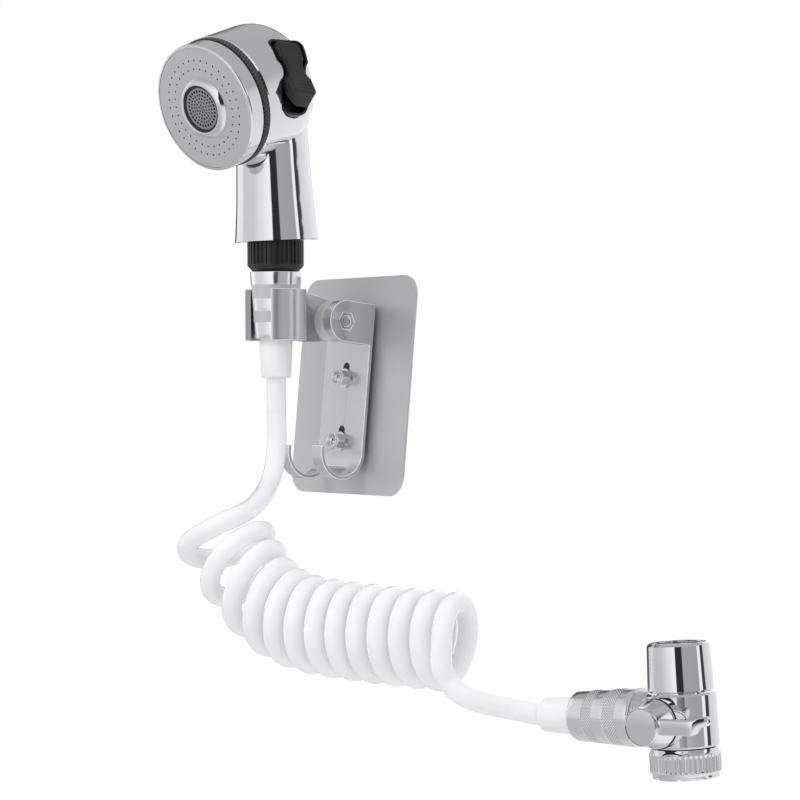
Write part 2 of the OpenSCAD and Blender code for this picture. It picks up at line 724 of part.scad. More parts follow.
screen_rings = 4;
module aerator_screen()
    color("gray") at_head() difference() {
        translate([0, 0, aerator_at + 1]) cylinder(r = aerator_r - 1.2, h = 1, $fn = fine);
        for (k = [1 : screen_rings], i = [0 : 7 * k - 1])
            rotate([0, 0, i * 360 / (7 * k)]) translate([k * 2.05, 0, aerator_at])
                cylinder(d = screen_hole_d, h = 4, $fn = 16);
        translate([0, 0, aerator_at]) cylinder(d = screen_hole_d, h = 4, $fn = 16);
    }

// rocker, its housing, pin and the plunger that it shifts
module rocker_housing()
    color("black") at_rocker(0) difference() {
        union() {
            along_x(housing_floor - housing_t, 0.9) pocket_outline(rocker_half_w, housing_t);
            intersection() {
                along_x(0, 7) pocket_outline(rocker_waist, housing_t - 0.1);
                housing_limit();
            }
        }
        along_x(housing_floor, 20) pocket_outline(rocker_waist, 0);
        along_x(housing_floor, 0) pocket_outline(rocker_half_w, 0);
        translate([housing_floor - housing_t - 1, -2, -4.5]) cube([housing_t + 2, 4, 9]);
        rotate([90, 0, 0]) cylinder(d = pin_d + 2 * pin_play, h = 30, center = true, $fn = fine);
    }
// keeps the mouth of the housing level with the drum
module housing_limit()
    rotate([0, rocker_neutral, 0]) translate([-rocker_x, -rocker_y, head_rise - rocker_rise])
        rotate([head_droop, 0, 0]) translate([0, -face_reach, 0]) rotate([-90, 0, 0])
        cylinder(r = drum_r - 0.3, h = drum_depth, $fn = fine);

module rocker()
    color("black") at_rocker(rocker_tilt) difference() {
        union() {
            along_x(1.4, rocker_out - 1) rocker_outline(0);
            along_x(rocker_out - 1 - eps, rocker_out) rocker_outline(-0.8);
            rotate([90, 0, 0]) cylinder(r = 3, h = 9.2, center = true, $fn = fine);
            translate([-2, -4.6, -3]) cube([4, 9.2, 6]);
            translate([-tail_reach, -1.2, -tail_t / 2]) cube([tail_reach, 2.4, tail_t]);
        }
        rotate([90, 0, 0]) cylinder(d = pin_d + 2 * pin_play, h = 30, center = true, $fn = fine);
        for (s = [-1, 1], k = [0 : 2]) translate([0, 0, s * (rocker_half - 3 - 1.6 * k)])
            translate([rocker_out - groove_depth, -groove_half, -groove_w / 2])
                cube([2, 2 * groove_half, groove_w]);
    }

module rocker_pin()
    color("silver") at_rocker(0) rotate([90, 0, 0]) cylinder(
        d = pin_d, h = 2 * (rocker_half_w + rocker_gap + housing_t) - 0.4, center = true, $fn = fine);

module mode_plunger()
    color("goldenrod") at_rocker(0) translate([plunger_x, 0, plunger_shift]) union() {
        translate([0, 0, -9]) cylinder(r = 1.2, h = 18, $fn = fine);
        for (z = [-9, -plunger_gap - 1.2, plunger_gap, 7]) translate([0, 0, z])
            cylinder(r = plunger_r, h = z == -9 || z == 7 ? 2 : 1.2, $fn = fine);
    }

// hose: a tube swept along points, with rings square to its way
function unit(v) = v / norm(v);
function way(p, i) = unit(p[min(i + 1, len(p) - 1)] - p[max(i - 1, 0)]);
function square_to(v, t) = unit(v - (v * t) * t);
// carries the side direction from ring to ring without twist
function sides(p, i, side, out) = i == len(p) ? out :
    let (s = square_to(side, way(p, i))) sides(p, i + 1, s, concat(out, [s]));
module swept(p, r, n, first_way, last_way, side)
{
    side_of = sides(p, 0, side, []);
    points = [for (i = [0 : len(p) - 1])
        let (t = i == 0 ? first_way : i == len(p) - 1 ? last_way : way(p, i),
             a = square_to(side_of[i], t), b = cross(t, a))
        for (k = [0 : n - 1]) p[i] + r * (cos(360 * k / n) * a + sin(360 * k / n) * b)];
    last = (len(p) - 1) * n;
    walls = [for (i = [0 : len(p) - 2], k = [0 : n - 1])
        let (a = i * n + k, b = i * n + (k + 1) % n)
        each [[a, b, a + n], [b, b + n, a + n]]];
    ends = [for (k = [1 : n - 2]) each [[0, k + 1, k], [last, last + k, last + k + 1]]];
    polyhedron([for (q = points) q], concat(walls, ends));
}
// eases a smooth line through chosen points
function eased(p, i, f) = let (a = p[max(i - 1, 0)], b = p[i], c = p[i + 1], d = p[min(i + 2, len(p) - 1)])
    0.5 * (2 * b + (c - a) * f + (2 * a - 5 * b + 4 * c - d) * f * f + (3 * b - a - 3 * c + d) * f * f * f);
function smooth(p, n) =
    concat([for (i = [0 : len(p) - 2], k = [0 : n - 1]) eased(p, i, k / n)], [p[len(p) - 1]]);

// middle line of the coil: a helix round a line that drops and then levels out.
// Places along it are counted in turns: a whole number is the top of a turn.
coil_start = [21.5, -78, -87.5];
coil_from = 0.24;
coil_to = 12.25;
coil_rings = 24;
coil_way = [cos(coil_heading), sin(coil_heading), 0];
coil_side = [coil_way[1], -coil_way[0], 0];
function level_out(x) = let (e = exp(2 * x)) (e - 1) / (e + 1);
function along(turn) = (turn - 1.25) * coil_step;
function coil_axis(turn) = coil_start + along(turn) * coil_way
    - [0, 0, coil_drop * level_out(along(turn) / coil_level)];
function turn_up(turn) = let (a = coil_lean * exp(-along(turn) / coil_relax))
    sin(a) * coil_way + [0, 0, cos(a)];
function coil_point(turn) = coil_axis(turn)
    + coil_r * (cos(360 * turn) * turn_up(turn) + sin(360 * turn) * coil_side);
function coil_way_at(turn) = unit(coil_point(turn + 0.005) - coil_point(turn - 0.005));
coil_count = round((coil_to - coil_from) * coil_rings);
coil_turn_points = [for (i = [0 : coil_count])
    coil_point(coil_from + i * (coil_to - coil_from) / coil_count)];
coil_in = coil_way_at(coil_from);
coil_out = coil_way_at(coil_to);
coil_points = concat([coil_turn_points[0] - hose_d * coil_in], coil_turn_points,
                     [coil_turn_points[coil_count] + hose_d * coil_out]);

// the least gap of the coil to itself, from each point to the stretches about one turn further on
function to_stretch(p, a, b) = let (u = (p - a) * (b - a) / ((b - a) * (b - a)))
    norm(p - a - min(1, max(0, u)) * (b - a));
coil_gap = min([for (i = [0 : len(coil_points) - coil_rings],
                    j = [i + 0.7 * coil_rings : i + 1.3 * coil_rings])
    if (j < len(coil_points) - 1)
        to_stretch(coil_points[i], coil_points[floor(j)], coil_points[floor(j) + 1])]) - hose_d;
echo(coil_gap = coil_gap);

// where the hose leaves the upper fitting, in the frame of the wall
function lean_x(v, a) = [v[0], v[1] * cos(a) - v[2] * sin(a), v[1] * sin(a) + v[2] * cos(a)];
function nut_place(z) = [0, -pivot_out, pivot_z] + lean_x([arm_x, -clip_reach, nut_rise + z], holder_lean);
neck_end = nut_place(-nut_len - sleeve_len - neck_len);
neck_way = -lean_x([0, 0, 1], holder_lean);

lead_points = [[5, -49, -31], [10, -53.5, -45], [17, -63, -56], [24, -75, -63], [29, -87, -67.5]];

module hose_neck()
    color("white") at_nut() tube(hose_r, hose_bore_r, -nut_len - sleeve_len - neck_len, -collar_low - 0.1);

lead_line = smooth(concat([neck_end], lead_points, [coil_points[0]]), 2);
module hose_lead()
    color("white") swept(lead_line, hose_r, 8, neck_way, coil_in, [1, 0, 0]);

module hose_coil()
    color("white") swept(coil_points, hose_r, 6, coil_in, coil_out, turn_up(coil_from));

// where the hose enters the lower fitting, in the frame of the wall
function turn_z(v, a) = [v[0] * cos(a) - v[1] * sin(a), v[0] * sin(a) + v[1] * cos(a), v[2]];
function turn_y(v, a) = [v[0] * cos(a) + v[2] * sin(a), v[1], v[2] * cos(a) - v[0] * sin(a)];
function tap_dir(v) = turn_z(turn_y(lean_x(v, tap_lean[0]), tap_lean[1]), tap_lean[2]);
foot_end = tap_place + tap_dir([-tap_nut_at - nut_len - sleeve_len, 0, 0]);
foot_way = tap_dir([1, 0, 0]);

run_points = [[137.5, -50, -130], [144, -47.5, -135], [151, -41.5, -137.5], [158, -33, -139]];
run_line = smooth(concat([coil_points[len(coil_points) - 1]], run_points,
                         [foot_end - 4 * foot_way, foot_end]), 2);
module hose_run()
    color("white") swept(run_line, hose_r, 8, coil_out, foot_way, [0, 0, 1]);

module hose_foot()
    color("white") at_tap_nut() tube(hose_r, hose_bore_r, -nut_len - sleeve_len, -collar_low - 0.1);

module sleeve_lower() at_tap_nut() sleeve();
module hose_nut_lower() at_tap_nut() hose_nut();
module hose_barb_lower() at_tap_nut() hose_barb();
module nut_washer_lower() at_tap_nut() nut_washer();

// diverter: its axis is Z, the hose leaves at -X and the lever stands at -Y
neck_out_r = 9.4;
inlet_seat = body_h / 2 + inlet_h - inlet_depth - 1;
module diverter_body()
    color("lightsteelblue") at_tap() difference() {
        union() {
            spun([[0, -body_h / 2], [body_r - 0.8, -body_h / 2], [body_r, 0.8 - body_h / 2],
                  [body_r, body_h / 2 - 0.8], [body_r - 0.8, body_h / 2], [0, body_h / 2]]);
            cylinder(r = neck_out_r, h = inlet_seat, $fn = fine);
            translate([0, 0, -body_h / 2 - outlet_thread])
                cylinder(r = outlet_thread_r, h = outlet_thread + 3, $fn = fine);
            rotate([0, -90, 0]) cylinder(r = thread_r, h = tap_nut_at + thread_len, $fn = fine);
            rotate([90, 0, 0]) cylinder(r = boss_out_r, h = boss_front, $fn = fine);
        }
        translate([0, 0, -body_h / 2 - outlet_thread - 1])
            cylinder(r = low_bore_r, h = outlet_thread + 1 + body_h / 2, $fn = fine);
        cylinder(r = top_bore_r, h = clear_cut, $fn = fine);
        rotate([0, -90, 0]) cylinder(r = flow_r, h = clear_cut, $fn = fine);
        translate([0, plug_r + 2, 0]) rotate([90, 0, 0])
            cylinder(r = plug_r + valve_play, h = clear_cut, $fn = fine);
        translate([0, 0, snap_z]) difference() {
            cylinder(r = neck_out_r + 1, h = 1.1, $fn = fine);
            translate([0, 0, -1]) cylinder(r = neck_out_r - 0.9, h = 4, $fn = fine);
        }
    }

// the swivel nut turns on the neck of the body and a snap ring keeps it there
inlet_at = body_h / 2 + 0.4;
seal_t = 2.4;
snap_z = inlet_at + 3.2;
module inlet_nut()
    color("lightsteelblue") at_tap() difference() {
        spun([[0, inlet_at], [inlet_foot_r - 0.8, inlet_at], [inlet_foot_r, inlet_at + 0.8],
              [inlet_top_r, inlet_at + inlet_h - 1], [inlet_top_r - 1, inlet_at + inlet_h],
              [0, inlet_at + inlet_h]]);
        translate([0, 0, inlet_at - 1]) cylinder(r = neck_out_r + 0.1, h = clear_cut, $fn = fine);
        translate([0, 0, inlet_at + 3]) cylinder(r = inlet_r - 0.3, h = clear_cut, $fn = fine);
        translate([0, 0, inlet_seat + seal_t]) cylinder(r = inlet_r, h = clear_cut, $fn = fine);
    }

module snap_ring()
    color("gray") at_tap() tube(neck_out_r + 1.1, neck_out_r - 0.85, snap_z + 0.05, snap_z + 1);

module inlet_washer()
    color("dimgray") at_tap() tube(inlet_r - 0.5, 6.5, inlet_seat, inlet_seat + seal_t);

module valve_plug()
    color("goldenrod") at_stem() difference() {
        union() {
            translate([0, 0, -plug_r - 1.8]) cylinder(r = plug_r, h = 2 * plug_r + 4, $fn = fine);
            cylinder(r = stem_r, h = hub_reach - 6, $fn = fine);
        }
        rotate([90, 0, 0]) translate([0, 0, -20]) cylinder(r = flow_r - 1, h = 40, $fn = fine);
        rotate([0, -90, 0]) cylinder(r = flow_r - 1, h = 40, $fn = fine);
        translate([0, 0, hub_reach - 13]) cylinder(d = 2.5, h = 20, $fn = fine);
    }

gland_at = plug_r + 2.6;
module gland_nut()
    color("goldenrod") at_stem() difference() {
        translate([0, 0, gland_at]) cylinder(r = plug_r, h = boss_front - gland_at, $fn = fine);
        translate([0, 0, gland_at - 1]) cylinder(r = stem_r + valve_play, h = 30, $fn = fine);
        translate([0, 0, gland_at + 1]) cylinder(r = stem_r + 1.7, h = 4.8, $fn = fine);
    }

module stem_orings()
    color("dimgray") at_stem() for (k = [0, 1]) translate([0, 0, gland_at + 2.2 + 2.4 * k])
        rotate_extrude($fn = fine) translate([stem_r + valve_play + 0.8, 0]) circle(r = 0.75, $fn = 24);

// soft ring that closes the gap between the lever and its boss
lever_gap = 0.9;
module lever_ring()
    color("black") at_stem()
        tube(boss_out_r + 0.2, stem_r + 1.5, boss_front, boss_front + lever_gap - 0.05);

// the lever turns with the stem and its arm bends back at the tip
arm_low = 6.4;
arm_depth = 4.8;
tip_len = 5;
tip_bend = 30;
tip_r = 1.9;
tip_rise = 1.9;
arm_half_w = 3.3;
// outline of the arm as seen from the front: it steps up to its round tip
module arm_front()
    polygon(concat([[0, -arm_half_w], [lever_len - tip_len - 3, -arm_half_w + 0.2]],
        arc(lever_len - tip_r, tip_rise, tip_r, -70, 100, 10),
        [[lever_len - tip_len - 2, arm_half_w - 0.2], [0, arm_half_w - 0.3]]));
// outline of the arm as seen from above: straight, then bent back at the tip
arm_bend_x = lever_len - tip_len;
arm_end_x = lever_len + 2;
arm_back_z = hub_reach - arm_low;
arm_end_z = arm_back_z - (tip_len + 2) * tan(tip_bend);
module arm_side()
    polygon([[0, arm_back_z], [arm_bend_x, arm_back_z], [arm_end_x, arm_end_z],
             [arm_end_x, arm_end_z + arm_depth / cos(tip_bend)],
             [arm_bend_x + arm_depth * tan(tip_bend / 2), arm_back_z + arm_depth],
             [0, arm_back_z + arm_depth]]);
hub_h = hub_reach - boss_front - lever_gap;
module lever()
    color("lightsteelblue") at_stem() difference() {
        union() {
            translate([0, 0, boss_front + lever_gap]) spun([[0, 0], [hub_foot_r, 0], [hub_foot_r, 0.8],
                [hub_r, hub_h - 2], [hub_r, hub_h - 0.6], [hub_r - 0.6, hub_h], [0, hub_h]]);
            intersection() {
                translate([0, 0, arm_back_z - lever_len]) linear_extrude(2 * lever_len) arm_front();
                rotate([90, 0, 0]) translate([0, 0, -lever_len / 2]) linear_extrude(lever_len) arm_side();
            }
        }
        translate([0, 0, boss_front]) cylinder(r = stem_r, h = hub_reach - 6 - boss_front, $fn = fine);
        translate([0, 0, boss_front]) cylinder(r = 1.6, h = 30, $fn = fine);
        translate([0, 0, hub_reach - 4]) cylinder(r = 3.1, h = 30, $fn = fine);
        translate([0, 0, hub_reach - 1.2]) cylinder(r = hub_r - 1.4, h = 30, $fn = fine);
    }

module lever_screw()
    color("silver") at_stem() difference() {
        union() {
            translate([0, 0, hub_reach - 13]) cylinder(r = 1.25, h = 10, $fn = fine);
            translate([0, 0, hub_reach - 4]) cylinder(r = 2.8, h = 2, $fn = fine);
        }
        translate([0, 0, hub_reach - 3]) cylinder(r = 1.2, h = 3, $fn = 6);
    }

module lever_cap()
    color("silver") at_stem() union() {
        translate([0, 0, hub_reach - 1.9]) cylinder(r = 3, h = 1, $fn = fine);
        translate([0, 0, hub_reach - 1.2]) cylinder(r = hub_r - 1.5, h = 1.2, $fn = fine);
    }

outlet_top = -body_h / 2 - 0.3;
outlet_low = outlet_top - outlet_h;
outlet_ribs = 44;
notches = 8;
module outlet_ring()
    color("lightsteelblue") at_tap() difference() {
        spun([[0, outlet_top], [outlet_r - 1, outlet_top], [outlet_r, outlet_top - 1],
              [outlet_r, outlet_low + 2.6], [outlet_r - 0.9, outlet_low + 2.2],
              [outlet_r - 0.9, outlet_low + 0.5], [outlet_r - 1.4, outlet_low], [0, outlet_low]]);
        translate([0, 0, outlet_low + 3]) cylinder(r = outlet_thread_r + fit_gap, h = 30, $fn = fine);
        translate([0, 0, outlet_low - 1]) cylinder(r = outlet_bore_r, h = 30, $fn = fine);
        for (i = [0 : outlet_ribs - 1]) rotate([0, 0, i * 360 / outlet_ribs])
            translate([outlet_r - 0.5, -0.45, outlet_low + 2.7]) cube([2, 0.9, outlet_h - 3.9]);
        for (i = [0 : notches - 1]) rotate([0, 0, i * 360 / notches])
            translate([outlet_bore_r + 0.8, -0.9, outlet_low - 1]) cube([8, 1.8, 1.9]);
    }

module outlet_gasket()
    color("dimgray") at_tap()
        tube(outlet_thread_r - 0.2, low_bore_r, outlet_low + 4.1, -body_h / 2 - outlet_thread);

module outlet_screen()
    color("silver") at_tap() difference() {
        translate([0, 0, outlet_low + 3.1]) cylinder(r = outlet_thread_r - 0.1, h = 1, $fn = fine);
        for (k = [1 : 3], i = [0 : 6 * k - 1]) rotate([0, 0, i * 60 / k])
            translate([k * 2.6, 0, outlet_low]) cylinder(d = 1.5, h = 9, $fn = 16);
    }

adhesive_pad();
wall_plate();
plate_studs();
stand_off_rings();
bracket();
stud_washers();
cap_nuts();
pivot_bolt();
pivot_nut();
pivot_spacer();
friction_washer();
holder_clip();
hose_nut_upper();
nut_washer_upper();
hose_barb_upper();
sleeve_upper();
swivel_coupling();
coupling_oring();
retaining_ring();
head_shell();
water_core();
valve_body();
grip_ring();
face_gasket();
face_cap();
spray_plate();
aerator_ring();
aerator_housing();
aerator_screen();
rocker_housing();
rocker();
rocker_pin();
mode_plunger();
hose_neck();
hose_lead();
hose_coil();
hose_run();
hose_foot();
sleeve_lower();
hose_nut_lower();
hose_barb_lower();
nut_washer_lower();
diverter_body();
inlet_nut();
inlet_washer();
snap_ring();
valve_plug();
gland_nut();
stem_orings();
lever_ring();
lever();
lever_screw();
lever_cap();
outlet_ring();
outlet_gasket();
outlet_screen();
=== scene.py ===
import json
import math

import bmesh
import bpy
import numpy as np
from mathutils import Matrix, Vector


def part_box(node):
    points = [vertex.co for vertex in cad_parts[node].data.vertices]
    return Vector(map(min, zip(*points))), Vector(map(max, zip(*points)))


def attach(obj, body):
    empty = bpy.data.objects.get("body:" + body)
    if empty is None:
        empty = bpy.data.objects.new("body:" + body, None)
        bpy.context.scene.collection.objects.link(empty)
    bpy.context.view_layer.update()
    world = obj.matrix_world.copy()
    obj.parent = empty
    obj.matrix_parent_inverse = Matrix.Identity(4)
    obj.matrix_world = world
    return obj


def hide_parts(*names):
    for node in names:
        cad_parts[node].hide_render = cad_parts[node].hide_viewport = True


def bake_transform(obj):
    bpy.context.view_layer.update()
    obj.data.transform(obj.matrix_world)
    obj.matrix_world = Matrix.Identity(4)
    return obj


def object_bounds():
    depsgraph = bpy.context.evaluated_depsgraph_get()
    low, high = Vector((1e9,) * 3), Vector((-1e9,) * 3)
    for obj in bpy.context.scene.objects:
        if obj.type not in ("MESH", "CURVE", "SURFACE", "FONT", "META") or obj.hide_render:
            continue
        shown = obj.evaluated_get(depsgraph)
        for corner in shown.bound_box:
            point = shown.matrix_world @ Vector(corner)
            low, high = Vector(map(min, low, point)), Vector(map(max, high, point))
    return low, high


# Bath sprayer on its wall holder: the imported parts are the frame, and this script dresses them.
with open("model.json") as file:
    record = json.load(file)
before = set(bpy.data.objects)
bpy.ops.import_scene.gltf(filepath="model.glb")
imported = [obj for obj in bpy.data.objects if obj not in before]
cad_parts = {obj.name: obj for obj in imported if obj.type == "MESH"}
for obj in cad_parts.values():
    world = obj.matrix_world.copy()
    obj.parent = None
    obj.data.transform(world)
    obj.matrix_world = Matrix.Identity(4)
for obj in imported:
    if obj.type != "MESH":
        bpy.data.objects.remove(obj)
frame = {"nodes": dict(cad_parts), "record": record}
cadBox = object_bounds()
nodes = frame["nodes"]
record = frame["record"]
scene = bpy.context.scene
scene.view_settings.view_transform = "Standard"
bodyOf = {n: body for body, names in record["behaviour"]["bodies"].items() for n in names}
slotOf = {row["node"]: row["material_slot"] for row in record["subparts"]}
print("frame loaded:", len(nodes), "parts")


def addObject(name, data):
    made = bpy.data.objects.new(name, data)
    scene.collection.objects.link(made)
    return made


def shift(x, y, z):
    return Matrix.Translation((x, y, z))


def turn(axis, degrees):
    return Matrix.Rotation(math.radians(degrees), 4, axis)


# where the parts sit, in metres and degrees: each place starts from the one it is fixed to
holder = dict(pivot=(0, -0.0218, 0.0286), lean=6, armX=0.003, reach=0.0318, nutRise=0.0229)
handset = dict(turn=7, rise=0.0891, droop=20, faceReach=0.0481)
tap = dict(place=(0.240, -0.0175, -0.134), lean=(6, -4.9, 7), nutAt=0.019)
rocker = dict(place=(0.0247, -0.016, 0.088), neutral=13.5, tilt=12.5)
atPivot = shift(*holder["pivot"]) @ turn("X", holder["lean"])
atNut = atPivot @ shift(holder["armX"], -holder["reach"], holder["nutRise"])
atHandset = atNut @ turn("Z", handset["turn"])
atHead = (atHandset @ shift(0, 0, handset["rise"]) @ turn("X", handset["droop"])
          @ shift(0, -handset["faceReach"], 0) @ turn("X", -90))
atTap = (shift(*tap["place"]) @ turn("Z", tap["lean"][2]) @ turn("Y", tap["lean"][1])
         @ turn("X", tap["lean"][0]))
atTapNut = atTap @ shift(-tap["nutAt"], 0, 0) @ turn("Y", 90)
atStem = atTap @ turn("X", 90)
atRocker = atHandset @ shift(*rocker["place"]) @ turn("Y", -rocker["neutral"])

# camera: place in metres, angles in degrees, focal length and sensor in millimetres
lens = dict(place=(0.8407, -0.6891, -0.0691), azimuth=49.5, pitch=3.36, roll=4.27, focal=101.25, sensor=36,
            near=0.05, far=50)


def makeCamera(s):
    a, p, r = (math.radians(s[k]) for k in ("azimuth", "pitch", "roll"))
    ahead = Vector((-math.sin(a) * math.cos(p), math.cos(a) * math.cos(p), math.sin(p)))
    level = Vector((math.cos(a), math.sin(a), 0))
    above = level.cross(ahead)
    right = level * math.cos(r) + above * math.sin(r)
    up = above * math.cos(r) - level * math.sin(r)
    data = bpy.data.cameras.new("camera")
    data.sensor_width, data.lens = s["sensor"], s["focal"]
    data.clip_start, data.clip_end = s["near"], s["far"]
    camera = addObject("camera", data)
    camera.matrix_world = Matrix.LocRotScale(
        Vector(s["place"]), Matrix((right, up, -ahead)).transposed().to_quaternion(), None)
    scene.camera = camera


makeCamera(lens)
print("camera set")


# four-sided faces between neighbouring points of a grid of rows and columns; where closed, the last
# column (or row) joins the first
def gridFaces(rows, columns, closedColumns=True, closedRows=False):
    r = np.arange(rows if closedRows else rows - 1)
    c = np.arange(columns if closedColumns else columns - 1)
    i, j = np.meshgrid(r, c, indexing="ij")
    i2, j2 = (i + 1) % rows, (j + 1) % columns
    return np.stack([i * columns + j, i * columns + j2, i2 * columns + j2, i2 * columns + j], -1).reshape(-1, 4)


# the same for rows that are rings, with a flat face over the first and the last ring
def cappedFaces(rows, columns):
    last = (rows - 1) * columns
    return gridFaces(rows, columns).tolist() + [list(range(columns)), list(range(last, last + columns))]


mm = 0.001  # a millimetre, in metres
mergeWithin = dict(made=1e-7, part=2e-6)  # points closer than this, in metres, become one


# a piece from its points and faces, moved to its place in the mesh, with its faces pointing outwards
def meshObject(name, points, faces, sharp=30, place=None):
    mesh = bpy.data.meshes.new(name)
    mesh.from_pydata(np.asarray(points, float).reshape(-1, 3).tolist(), [], [list(f) for f in faces])
    if place is not None:
        mesh.transform(place)
    mesh.validate()
    bm = bmesh.new()
    bm.from_mesh(mesh)
    bmesh.ops.remove_doubles(bm, verts=bm.verts, dist=mergeWithin["made"])
    bmesh.ops.recalc_face_normals(bm, faces=bm.faces)
    bm.to_mesh(mesh)
    bm.free()
    mesh.shade_smooth()
    mesh.set_sharp_from_angle(angle=math.radians(sharp))
    return addObject(name, mesh)


# smooth line through chosen points: at share f of a span, the cubic whose end slopes are half the
# chords of the neighbouring points; the first and last points only steer it
def easedLine(points, perSpan):
    p = np.asarray(points, float)
    f = (np.arange(perSpan) / perSpan)[None, :, None]
    a, b, c, d = (p[k:len(p) - 3 + k, None, :] for k in range(4))
    line = 0.5 * (2 * b + (c - a) * f + (2 * a - 5 * b + 4 * c - d) * f ** 2 + (3 * b - a - 3 * c + d) * f ** 3)
    return np.vstack([line.reshape(-1, 3), p[-2]])


# round tube: at each point of the line a ring square to it, whose side is carried along without
# twist; the first side is square to the line's start and to the seed
def tubeAlong(name, line, radius, sides, sharp=60, seed=(0.3, 0.5, 0.8)):
    way = np.gradient(line, axis=0)
    way /= np.linalg.norm(way, axis=1)[:, None]
    side = np.empty_like(way)
    carried = np.cross(way[0], seed)
    for k, t in enumerate(way):
        carried = carried - (carried @ t) * t
        carried /= np.linalg.norm(carried)
        side[k] = carried
    other = np.cross(way, side)
    angle = np.arange(sides) * 2 * math.pi / sides
    rings = (line[:, None, :] + radius * (np.cos(angle)[None, :, None] * side[:, None, :]
                                          + np.sin(angle)[None, :, None] * other[:, None, :]))
    return meshObject(name, rings, cappedFaces(len(line), sides), sharp)


def unitOf(v):
    v = np.asarray(v, float)
    return v / np.linalg.norm(v)


def placeOf(matrix, x, y, z):
    return np.array(matrix @ Vector((x, y, z)))


# hose, in metres: its diameter, the nut, sleeve and neck at its ends, how finely its route is cut, and how
# far off the points lie that steer its ends
hose = dict(diameter=0.009, sides=28, nutLength=0.0315, sleeve=0.0182, neck=0.016, inside=0.0141, perSpan=12,
            steerIn=0.014, steerOut=0.004, footFrom=0.15, footRings=8, neckRings=24, neckPast=0.0004)
# coil, in metres, degrees and turns: its axis passes the start at the start turn and heads away from it,
# sinking by the drop in all, more and more gently over the level length
coil = dict(start=(0.0215, -0.078, -0.0875), startTurn=1.25, heading=21, step=0.0104, drop=0.0265, level=0.0235,
            lean=42, relax=0.021, radius=0.0171, first=0.24, last=12.25, ringsPerTurn=44)
# the route before and after the coil, as the parts have it
leadPoints = [(0.005, -0.049, -0.031), (0.010, -0.0535, -0.045), (0.017, -0.063, -0.056),
              (0.024, -0.075, -0.063), (0.029, -0.087, -0.0675)]
runPoints = [(0.1375, -0.050, -0.130), (0.144, -0.0475, -0.135), (0.151, -0.0415, -0.1375),
             (0.158, -0.033, -0.139)]


# a helix round an axis that sinks by a hyperbolic tangent: at each place, counted in turns, the turn's
# own up and side directions times the radius; the first turns lean along the axis
def coilLine(turns, s):
    h = math.radians(s["heading"])
    way = np.array([math.cos(h), math.sin(h), 0])
    side = np.array([way[1], -way[0], 0])
    along = (turns - s["startTurn"]) * s["step"]
    axis = np.array(s["start"]) + along[:, None] * way
    axis[:, 2] -= s["drop"] * np.tanh(along / s["level"])
    a = np.radians(s["lean"] * np.exp(-along / s["relax"]))
    up = np.sin(a)[:, None] * way + np.cos(a)[:, None] * np.array([0, 0, 1.0])
    t = 2 * math.pi * turns
    return axis + s["radius"] * (np.cos(t)[:, None] * up + np.sin(t)[:, None] * side)


# one line from the neck's end to inside the lower nut: free lead, coil, free run and straight foot
def hoseRoute(s, c):
    down = -s["nutLength"] - s["sleeve"]
    neckEnd = placeOf(atNut, 0, 0, down - s["neck"])
    neckWay = unitOf(placeOf(atNut, 0, 0, -1) - placeOf(atNut, 0, 0, 0))
    wound = coilLine(np.linspace(c["first"], c["last"], int((c["last"] - c["first"]) * c["ringsPerTurn"])), c)
    wayIn, wayOut = unitOf(wound[1] - wound[0]), unitOf(wound[-1] - wound[-2])
    coilIn, coilOut = wound[0] - s["diameter"] * wayIn, wound[-1] + s["diameter"] * wayOut
    footEnd = placeOf(atTapNut, 0, 0, down)
    steer = s["steerOut"] * unitOf(placeOf(atTapNut, 0, 0, 0) - footEnd)
    footTop = placeOf(atTapNut, 0, 0, -s["inside"])
    lead = easedLine([neckEnd - s["steerIn"] * neckWay, neckEnd, *leadPoints, coilIn, wound[0]], s["perSpan"])
    run = easedLine([wound[-1], coilOut, *runPoints, footEnd - steer, footEnd, footEnd + steer], s["perSpan"])
    foot = footEnd + np.linspace(s["footFrom"], 1, s["footRings"])[:, None] * (footTop - footEnd)
    return np.vstack([lead, wound, run, foot]), neckEnd, neckWay, coilIn


hoseLine, neckEnd, neckWay, leadFoot = hoseRoute(hose, coil)
hosePiece = tubeAlong("hose_tube", hoseLine, hose["diameter"] / 2, hose["sides"])
neckTop = placeOf(atNut, 0, 0, -hose["inside"])
neckLine = np.linspace(neckTop, neckEnd + hose["neckPast"] * neckWay, hose["neckRings"])
neckPiece = tubeAlong("hose_neck_tube", neckLine, hose["diameter"] / 2, hose["sides"])

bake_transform(hosePiece)
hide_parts("hose_lead", "hose_coil", "hose_run", "hose_foot")
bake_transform(neckPiece)
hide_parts("hose_neck")


# the piece moves with the part's body, or with the one named, and takes the part's finish; mostly it
# also shows in the part's stead
def dress(piece, part, body=None, instead=True):
    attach(piece, body or bodyOf[part])
    if instead:
        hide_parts(part)
    piece["finish"] = slotOf[part]
    return piece


# edges broken by so many metres, where two faces meet at more than the angle, so that they catch the
# light and carry a painted highlight; faces that lie within flat degrees of one plane count as one
edging = dict(widths=dict(bracket=0.0003, holder_clip=0.00025, pivot_nut=0.0003, cap_nuts=0.0003),
              angle=28, segments=2, flat=0.02)
# a sheet with holes is halved through them, so that each half is one plain outline: for each cut, a
# point on it and the way across it
slotLine, boltLine = (tuple(np.mean(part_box(name), axis=0)) for name in ("plate_studs", "pivot_bolt"))
halving = dict(bracket=[(slotLine, (1, 0, 0)), (boltLine, (0, 0, 1))])
